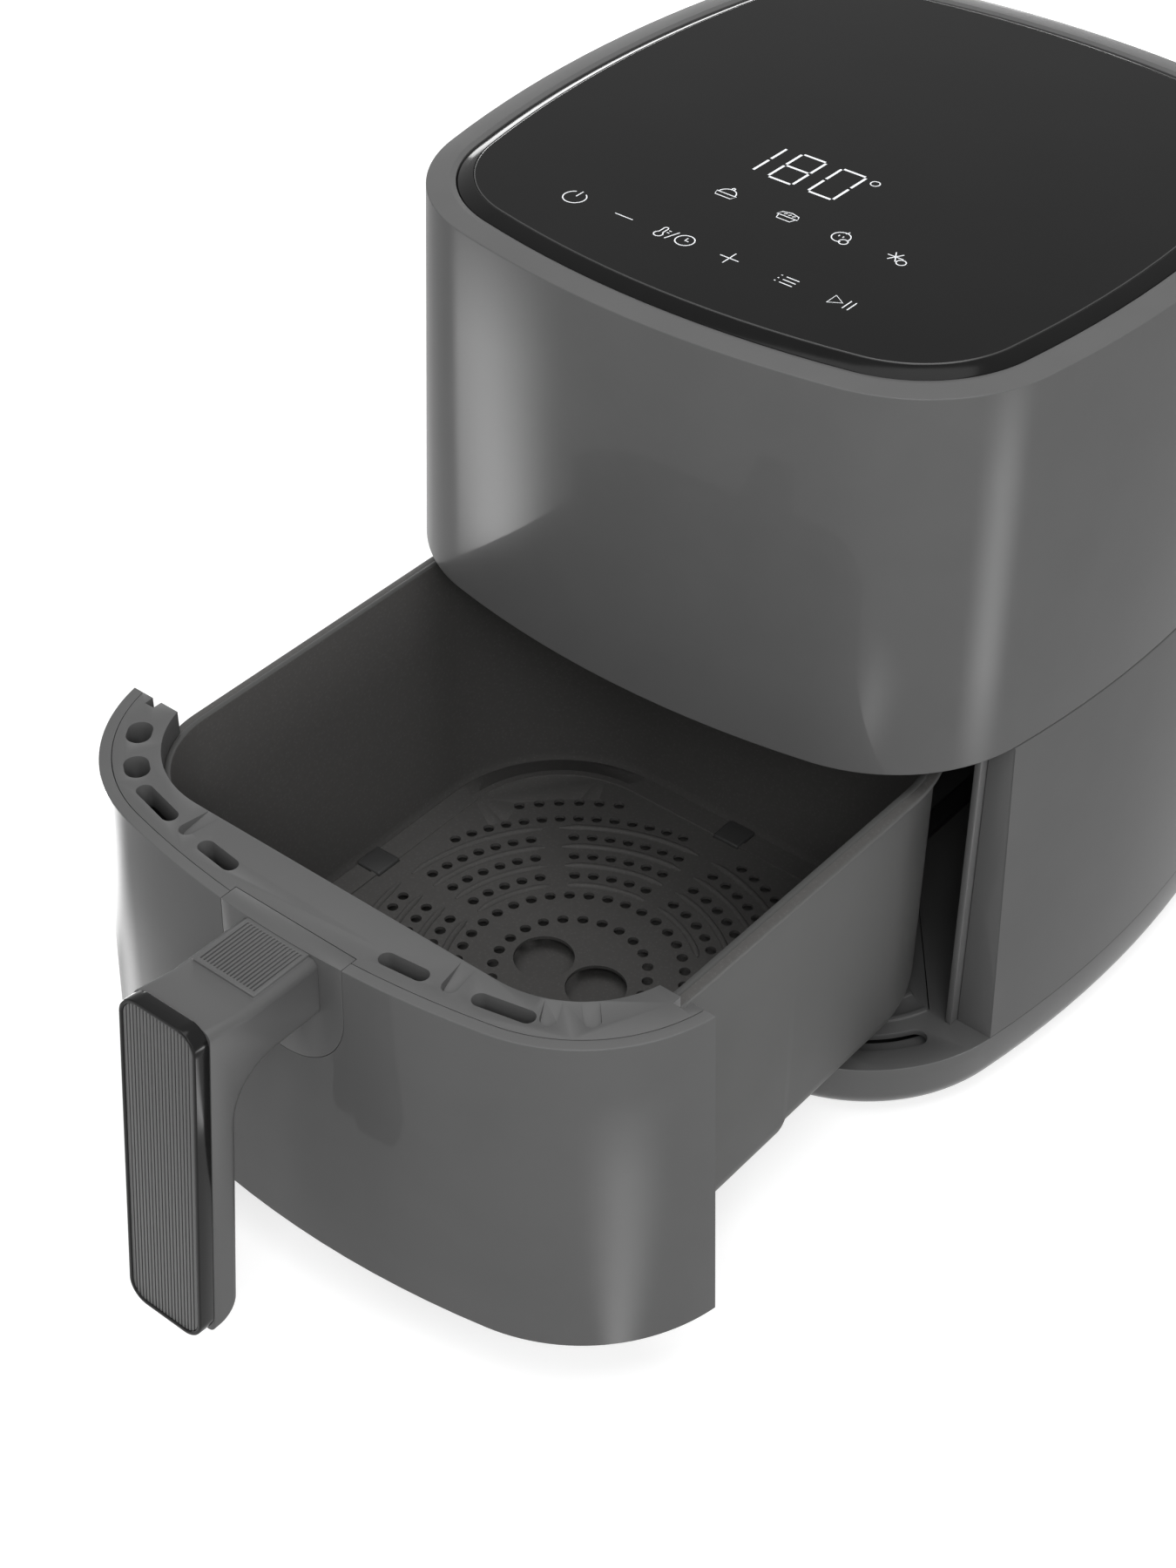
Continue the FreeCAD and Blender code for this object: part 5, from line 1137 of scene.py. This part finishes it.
@dataclass
class Drawer:
    """Front panel, flange, basket and handle."""

    plan: BodyPlan
    tub: TubPlan
    front_wall: float = 4.5 * MM
    front_radii: tuple[float, ...] = (1.0 * MM, 0.5 * MM, 0.1 * MM, 0.5 * MM)
    drawer_end: float = 89.2 * MM
    mount_gap: float = 0.25 * MM
    mount_steps: int = 28
    cut_rise: float = 5.0 * MM
    cut_reach: float = 15.0 * MM
    wall: float = 2.0 * MM
    round_out: float = 14.0 * MM
    rim_drops: tuple[Point, ...] = (
        (0.0, 40.0), (0.0, 0.9), (0.25, 0.25), (0.9, 0.0), (2.0, 0.0), (2.4, 0.2), (2.7, 0.7), (5.2, 0.7),
        (5.9, 1.0), (6.2, 1.6), (6.2, 2.7), (5.9, 3.0), (2.6, 3.0), (2.0, 3.6), (2.0, 40.0),
    )
    pan_drop: float = 3.6 * MM
    pan_width: float = 24.0 * MM
    pan_edge: float = 0.4 * MM
    round_steps: int = 7
    basket_smooth: float = 40.0
    coat_below: float = 0.1 * MM
    coat_drop: float = 0.5 * MM
    coat_slopes: Point = (0.2, 0.7)

    def build(self) -> None:
        """Make the drawer's pieces."""
        self.front()
        self.basket()
        cover("drawer_flange", MATT_GREY, Body.DRAWER, width=0.15 * MM)
        self.handle()

    def front(self) -> None:
        """The curved front panel with the recess of the handle's mount."""
        low, top = (corner.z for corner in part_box("drawer_front"))
        wall = self.front_wall
        corners = ((0.0, low), (0.0, top), (wall, top), (wall, low))
        panel = self.plan.shell("drawer_front_skin", corners, self.front_radii)
        end = Vector((0.0, self.plan.centre_y - self.drawer_end, 0.0))
        halved(panel, end, Vector((0.0, 1.0, 0.0)))
        carve(panel, self.mount_cutter(top))
        smooth(panel)
        dress(panel, SATIN_GREY, Body.DRAWER, "drawer_front")

    def mount_cutter(self, top: float) -> Object:
        """The U-shaped prism that makes room for the mount.

        Args:
            top: the level of the panel's top.

        Returns:
            The prism.
        """
        low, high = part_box("handle_mount")
        half = (high.x - low.x) / 2
        middle = low.z + half
        half += self.mount_gap
        around = ways(math.pi, 2 * math.pi, self.mount_steps)
        outline = [(half * a, middle + half * b) for a, b in around]
        outline += [(half, top + self.cut_rise), (-half, top + self.cut_rise)]
        ends = (low.y - self.cut_reach, high.y + self.cut_reach)
        return sweep("mount_cutter", [[Vector((x, y, z)) for x, z in outline] for y in ends])

    def basket(self) -> None:
        """The coated tub with its stepped rim and its lower front part."""
        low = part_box("basket")[0].z + self.pan_drop
        rim, wall, big = self.tub.rim, self.wall, self.round_out
        floor, bend = low + wall, big - wall
        around = ways(0.0, math.pi / 2, self.round_steps)
        profile = [(bend - bend * b, floor + bend - bend * a) for a, b in around]
        profile += [(-out * MM, rim - drop * MM) for out, drop in self.rim_drops]
        rings = [self.tub.ring(*point) for point in profile]
        under = [(big - wall - big * b, low + big - big * a) for a, b in reversed(around)]
        under.append((self.pan_width, low))
        rings += [[self.lowered(point) for point in self.tub.ring(*place)] for place in under]
        rings.append(self.tub.ring(self.pan_width + self.pan_edge, low))
        piece = sweep("basket_skin", rings)
        smooth(piece, self.basket_smooth)
        dress(piece, OUTER_COAT, Body.DRAWER, "basket")
        piece.data.materials.append(DARK_COAT.material())
        middle = Vector((0.0, self.tub.centre_y, 0.0))
        inward, flat = self.coat_slopes
        for face in piece.data.polygons:
            facing = (middle - face.center).to_2d().normalized().dot(face.normal.to_2d())
            inside = floor - self.coat_below < face.center.z < rim - self.coat_drop
            face.material_index = int(inside and (facing > inward or face.normal.z > flat))

    def lowered(self, point: Vector) -> Vector:
        """A point of the underside, moved down in the front part."""
        return point - Vector((0.0, 0.0, self.pan_drop * self.tub.ahead(point.y)))

    def handle(self) -> None:
        """Mount, grip, black frame and ribbed insert."""
        cover("handle_mount", MATT_GREY, Body.DRAWER, width=0.15 * MM)
        cover("handle_body", MATT_GREY, Body.DRAWER, width=0.25 * MM, clamp=False)
        cover("handle_bezel", FRAME_BLACK, Body.DRAWER, width=0.5 * MM, segments=3, clamp=False)
        cover("handle_insert", INSERT_GREY, Body.DRAWER, width=0.14 * MM)


@dataclass
class Crisper:
    """The perforated plate, its raised ribs and its bumpers."""

    tub: TubPlan
    ribs: tuple[float, ...] = (52.0 * MM, 64.2 * MM, 76.3 * MM, 88.4 * MM)
    rib_width: float = 3.0 * MM
    rib_height: float = 1.2 * MM
    rib_shoulder: Point = (0.5, 0.85)
    rib_taper: float = 0.35
    rib_steps: int = 10
    rib_parts: int = 8
    break_half: float = 3.5 * MM
    ridge_inset: float = 10.2 * MM
    ridge_width: float = 1.4 * MM
    ridge_height: float = 0.6 * MM
    ridge_soft: float = 0.35 * MM
    sunk: float = 0.1 * MM
    disc_rise: float = 0.8 * MM
    smooth_angle: float = 60.0

    def build(self) -> None:
        """Make the crisper's pieces."""
        cover("crisper_plate", DARK_COAT, Body.CRISPER, width=0.25 * MM, segments=1)
        cover("crisper_bumpers", BUMPER, Body.CRISPER, width=1.2 * MM, segments=3)
        self.raised_ribs()
        self.ridge()

    def ridge(self) -> None:
        """A low ridge that follows the plate's edge."""
        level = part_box("crisper_plate")[1].z - self.disc_rise
        near, far = self.ridge_inset, self.ridge_inset + self.ridge_width
        top, soft, foot = level + self.ridge_height, self.ridge_soft, level - self.sunk
        profile = [(near, foot), (near, level), (near + soft, top),
                   (far - soft, top), (far, level), (far, foot)]
        piece = sweep("crisper_ridge", [self.tub.ring(*point) for point in profile], closed=True)
        smooth(piece, self.smooth_angle)
        dress(piece, DARK_COAT, Body.CRISPER)

    def raised_ribs(self) -> None:
        """Low arcs between the rings of holes, broken every eighth of a turn."""
        level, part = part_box("crisper_plate")[1].z - self.disc_rise, FULL_TURN / self.rib_parts
        parts = []
        for radius in self.ribs:
            gap = math.degrees(self.break_half / radius)
            for k in range(self.rib_parts):
                ends = (part * k + gap, part * (k + 1) - gap)
                parts.append(self.arc(radius, *map(math.radians, ends), level))
        piece = joined("crisper_ribs", parts)
        smooth(piece, self.smooth_angle)
        dress(piece, DARK_COAT, Body.CRISPER)

    def arc(self, radius: float, start: float, end: float, level: float) -> Object:
        """One low arc with a rounded top.

        Args:
            radius: its radius.
            start: the angle where it starts.
            end: the angle where it ends.
            level: the level it stands on.

        Returns:
            The arc.
        """
        half, high, sunk = self.rib_width / 2, self.rib_height, self.sunk
        near, low = half * self.rib_shoulder[0], high * self.rib_shoulder[1]
        section = ((-half, -sunk), (-half, 0.0), (-near, low), (0.0, high),
                   (near, low), (half, 0.0), (half, -sunk))
        rings = []
        for step, (a, b) in enumerate(ways(start, end, self.rib_steps)):
            taper = self.rib_taper if step in (0, self.rib_steps) else 1.0
            points = [(radius + across * taper, up * taper if up > 0 else up) for across, up in section]
            rings.append([Vector((out * a, self.tub.centre_y + out * b, level + up)) for out, up in points])
        return sweep("rib_arc", rings)


@dataclass
class Inside:
    """What works inside, kept as its solids with their own finishes."""

    finishes: dict[str, Finish] = field(default_factory=lambda: {
        "base_screws": STEEL, "housing_screws": STEEL, "handle_screws": STEEL, "panel_carrier": MATT_BLACK,
        "display_board": BOARD_GREEN, "display_module": MATT_BLACK, "mid_frame": LINER_GREY,
        "heating_chamber": SHEET_STEEL, "heating_element": STEEL, "heater_brackets": STEEL,
        "exhaust_duct": SHEET_STEEL, "hot_air_fan": ALUMINIUM, "cooling_fan": ALUMINIUM, "motor_shaft": STEEL,
        "fan_motor": MOTOR_PAINT, "motor_bracket": SHEET_STEEL, "power_board": BOARD_GREEN,
        "board_posts": MATT_BLACK, "board_components": MATT_BLACK, "temperature_sensor": STEEL,
        "thermal_fuse": STEEL, "drawer_switch": MATT_BLACK, "switch_plunger": MATT_BLACK,
    })

    def build(self) -> None:
        """Finish every piece."""
        for node, finish in self.finishes.items():
            carry(node, finish)


# Light and camera


def posted(name: str, data: Camera | Light, place: Sequence[float], way: Vector) -> Object:
    """Put a camera or a lamp in the scene.

    Args:
        name: its name.
        data: what it is.
        place: where it stands.
        way: the direction it faces.

    Returns:
        The new object.
    """
    item = bpy.data.objects.new(name, data)
    bpy.context.scene.collection.objects.link(item)
    item.location = place
    item.rotation_mode = "QUATERNION"
    item.rotation_quaternion = way.to_track_quat("-Z", "Y")
    return item


@dataclass(frozen=True)
class Lamp:
    """A soft lamp, with its place, its size and its power in watts."""

    name: str
    place: Triple
    size: Point
    power: float

    def build(self, aim: Vector) -> None:
        """Put the lamp in the scene.

        Args:
            aim: what it points at.
        """
        data = bpy.data.lights.new(self.name, "AREA")
        data.shape = "RECTANGLE"
        data.size, data.size_y = self.size
        data.energy = self.power
        posted(self.name, data, self.place, aim - Vector(self.place))


@dataclass(frozen=True)
class Fan:
    """A soft fan of light on the floor, from a point near the closed body's wall."""

    x: float
    y: float
    heading: float
    spread: float
    strength: float
    start: float
    reach: float
    rise: float = 0.5
    fall: float = 0.6

    def light(self, shade: Shade, body_y: float) -> NodeSocket:
        """Its light at each point of the floor.

        Args:
            shade: the floor's material.
            body_y: the depth of the body's middle.

        Returns:
            The light.
        """
        spot = shade.node("Mapping", {
            "Vector": shade.place, "Location": (self.x, self.y + body_y, 0.0),
            "Rotation": (0.0, 0.0, math.radians(self.heading)),
        }, vector_type="TEXTURE").outputs["Vector"]
        turn = shade.node("TexGradient", {"Vector": spot}, gradient_type="RADIAL").outputs["Fac"]
        fade = shade.node("MapRange", {
            "Value": shade.maths("PINGPONG", turn, HALF_TURN),
            "From Min": HALF_TURN - self.spread / FULL_TURN, "From Max": HALF_TURN, "To Max": self.strength,
        }, interpolation_type="SMOOTHSTEP").outputs["Result"]
        dark, full = grey(0.0), grey(1.0)
        near = shade.ramp(shade.length(spot), [(self.start * self.rise, dark), (self.start, full),
                                               (self.reach * self.fall, full), (self.reach, dark)])
        return shade.maths("MULTIPLY", fade, near)


@dataclass
class Studio:
    """Floor, light and camera."""

    middle: Vector
    body_y: float
    base_level: float
    azimuth: float = 39.591
    elevation: float = 39.813
    lens: float = 63.592
    sensor: float = 36.0
    eye: Triple = (0.51597, -0.79006, 0.80299)
    floor_size: float = 8.0
    floor_drop: float = 0.3 * MM
    floor_mottle: float = 0.5
    floor_tones: Point = (0.46, 0.5)
    floor_roughness: float = 0.7
    floor_specular: float = 0.1
    floor_glow: float = 0.68
    floor_edge: Point = (0.65, 1.0)
    edge_glow: float = 0.4
    soft: float = 0.28
    white: Point = (0.3, 1.0)
    lamps: tuple[Lamp, ...] = (
        Lamp("overhead", (0.2, -0.2, 2.2), (1.8, 1.8), 31.0),
        Lamp("front_fill", (1.22, -1.48, 1.75), (0.8, 0.8), 21.0),
        Lamp("back_bank", (-1.6, 2.0, 0.38), (1.6, 0.6), 15.0),
        Lamp("right_bank", (2.0, -0.6, 1.0), (0.9, 1.8), 12.0),
        Lamp("left_bank", (-1.0, -2.0, 1.1), (0.8, 1.8), 5.5),
    )
    fans: tuple[Fan, ...] = (
        Fan(-63.0 * MM, -143.0 * MM, -148.5, 17.0, 14.0, 0.3, 1.0),
        Fan(129.0 * MM, -101.0 * MM, 7.5, 20.0, 11.0, 0.28, 1.0),
        Fan(123.0 * MM, -301.0 * MM, -26.0, 36.0, 6.5, 0.0, 0.2),
        Fan(-63.0 * MM, -320.6 * MM, -176.0, 20.0, 4.0, 0.1, 0.26),
    )

    def build(self) -> None:
        """Make the studio."""
        self.floor()
        self.world()
        for lamp in self.lamps:
            lamp.build(self.middle)
        self.camera()
        bpy.context.scene.view_settings.view_transform = "Standard"

    def floor(self) -> None:
        """A pale floor that keeps the shadow, with fans of light that only gloss shows."""
        deselect()
        bpy.ops.mesh.primitive_plane_add(size=self.floor_size, location=(0.0, 0.0, -self.floor_drop))
        plane = bpy.context.object
        plane.name = "floor"
        shade = Shade("pale_floor")
        stops = list(zip((NOISE_LOW, NOISE_HIGH), map(grey, self.floor_tones)))
        shade.feed("Base Color", shade.ramp(shade.noise(self.floor_mottle), stops))
        path = shade.node("LightPath", {})
        camera, gloss = path.outputs["Is Camera Ray"], path.outputs["Is Glossy Ray"]
        glow = shade.maths("MULTIPLY", shade.seen(path), self.floor_glow)
        start, end = self.floor_edge
        edge = shade.ramp(shade.length(shade.place), [(start, grey(0.0)), (end, grey(self.edge_glow))])
        glow = shade.maths("ADD", glow, shade.maths("MULTIPLY", camera, edge))
        for fan in self.fans:
            light = shade.maths("MULTIPLY", gloss, fan.light(shade, self.body_y))
            glow = shade.maths("ADD", glow, light)
        shade.feed("Emission Strength", glow)
        shade.fix(Roughness=self.floor_roughness, Specular_IOR_Level=self.floor_specular,
                  Emission_Color=(*grey(1.0), 1.0))
        plane.data.materials.append(shade.material)

    def world(self) -> None:
        """A white surround that lights the object softly."""
        world = bpy.data.worlds.new("surround")
        bpy.context.scene.world = world
        tree = Tree(world)
        tree.nodes.clear()
        path = tree.node("LightPath", {})
        white = tree.maths("MULTIPLY_ADD", path.outputs["Is Camera Ray"], *self.white)
        lights = [tree.node("Background", {"Strength": power}).outputs[0] for power in (self.soft, white)]
        mix = tree.node("MixShader", {0: tree.seen(path), 1: lights[0], 2: lights[1]})
        tree.node("OutputWorld", {"Surface": mix.outputs[0]})

    def camera(self) -> None:
        """The camera at the photographed angle."""
        data = bpy.data.cameras.new("camera")
        data.sensor_width, data.lens = self.sensor, self.lens
        a, e = math.radians(self.azimuth), math.radians(self.elevation)
        back = Vector((math.sin(a) * math.cos(e), -math.cos(a) * math.cos(e), math.sin(e)))
        place = Vector(self.eye) + Vector((0.0, self.body_y, self.base_level))
        bpy.context.scene.camera = posted("camera", data, place, -back)


def main() -> None:
    """Build the air fryer and its studio."""
    logging.basicConfig(level=logging.INFO, format="%(message)s")
    upper_low, upper_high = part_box("upper_shell")
    body_y = (upper_low.y + upper_high.y) / 2
    plan = BodyPlan(body_y, upper_high.z - Housing.lip_rise)
    tub_low, tub_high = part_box("basket")
    tub = TubPlan(0.0, tub_high.z)
    drawer_y = (tub_low.y + tub_high.y - tub.rear + tub.front) / 2
    tub = TubPlan(drawer_y, tub_high.z)
    Housing(plan).build()
    TouchPanel(plan).build()
    Drawer(BodyPlan(drawer_y, plan.top), tub).build()
    Crisper(tub).build()
    Inside().build()
    low, high = CAD_BOX
    Studio((low + high) / 2, body_y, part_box("base_tray")[0].z).build()


if __name__ == "__main__":
    main()
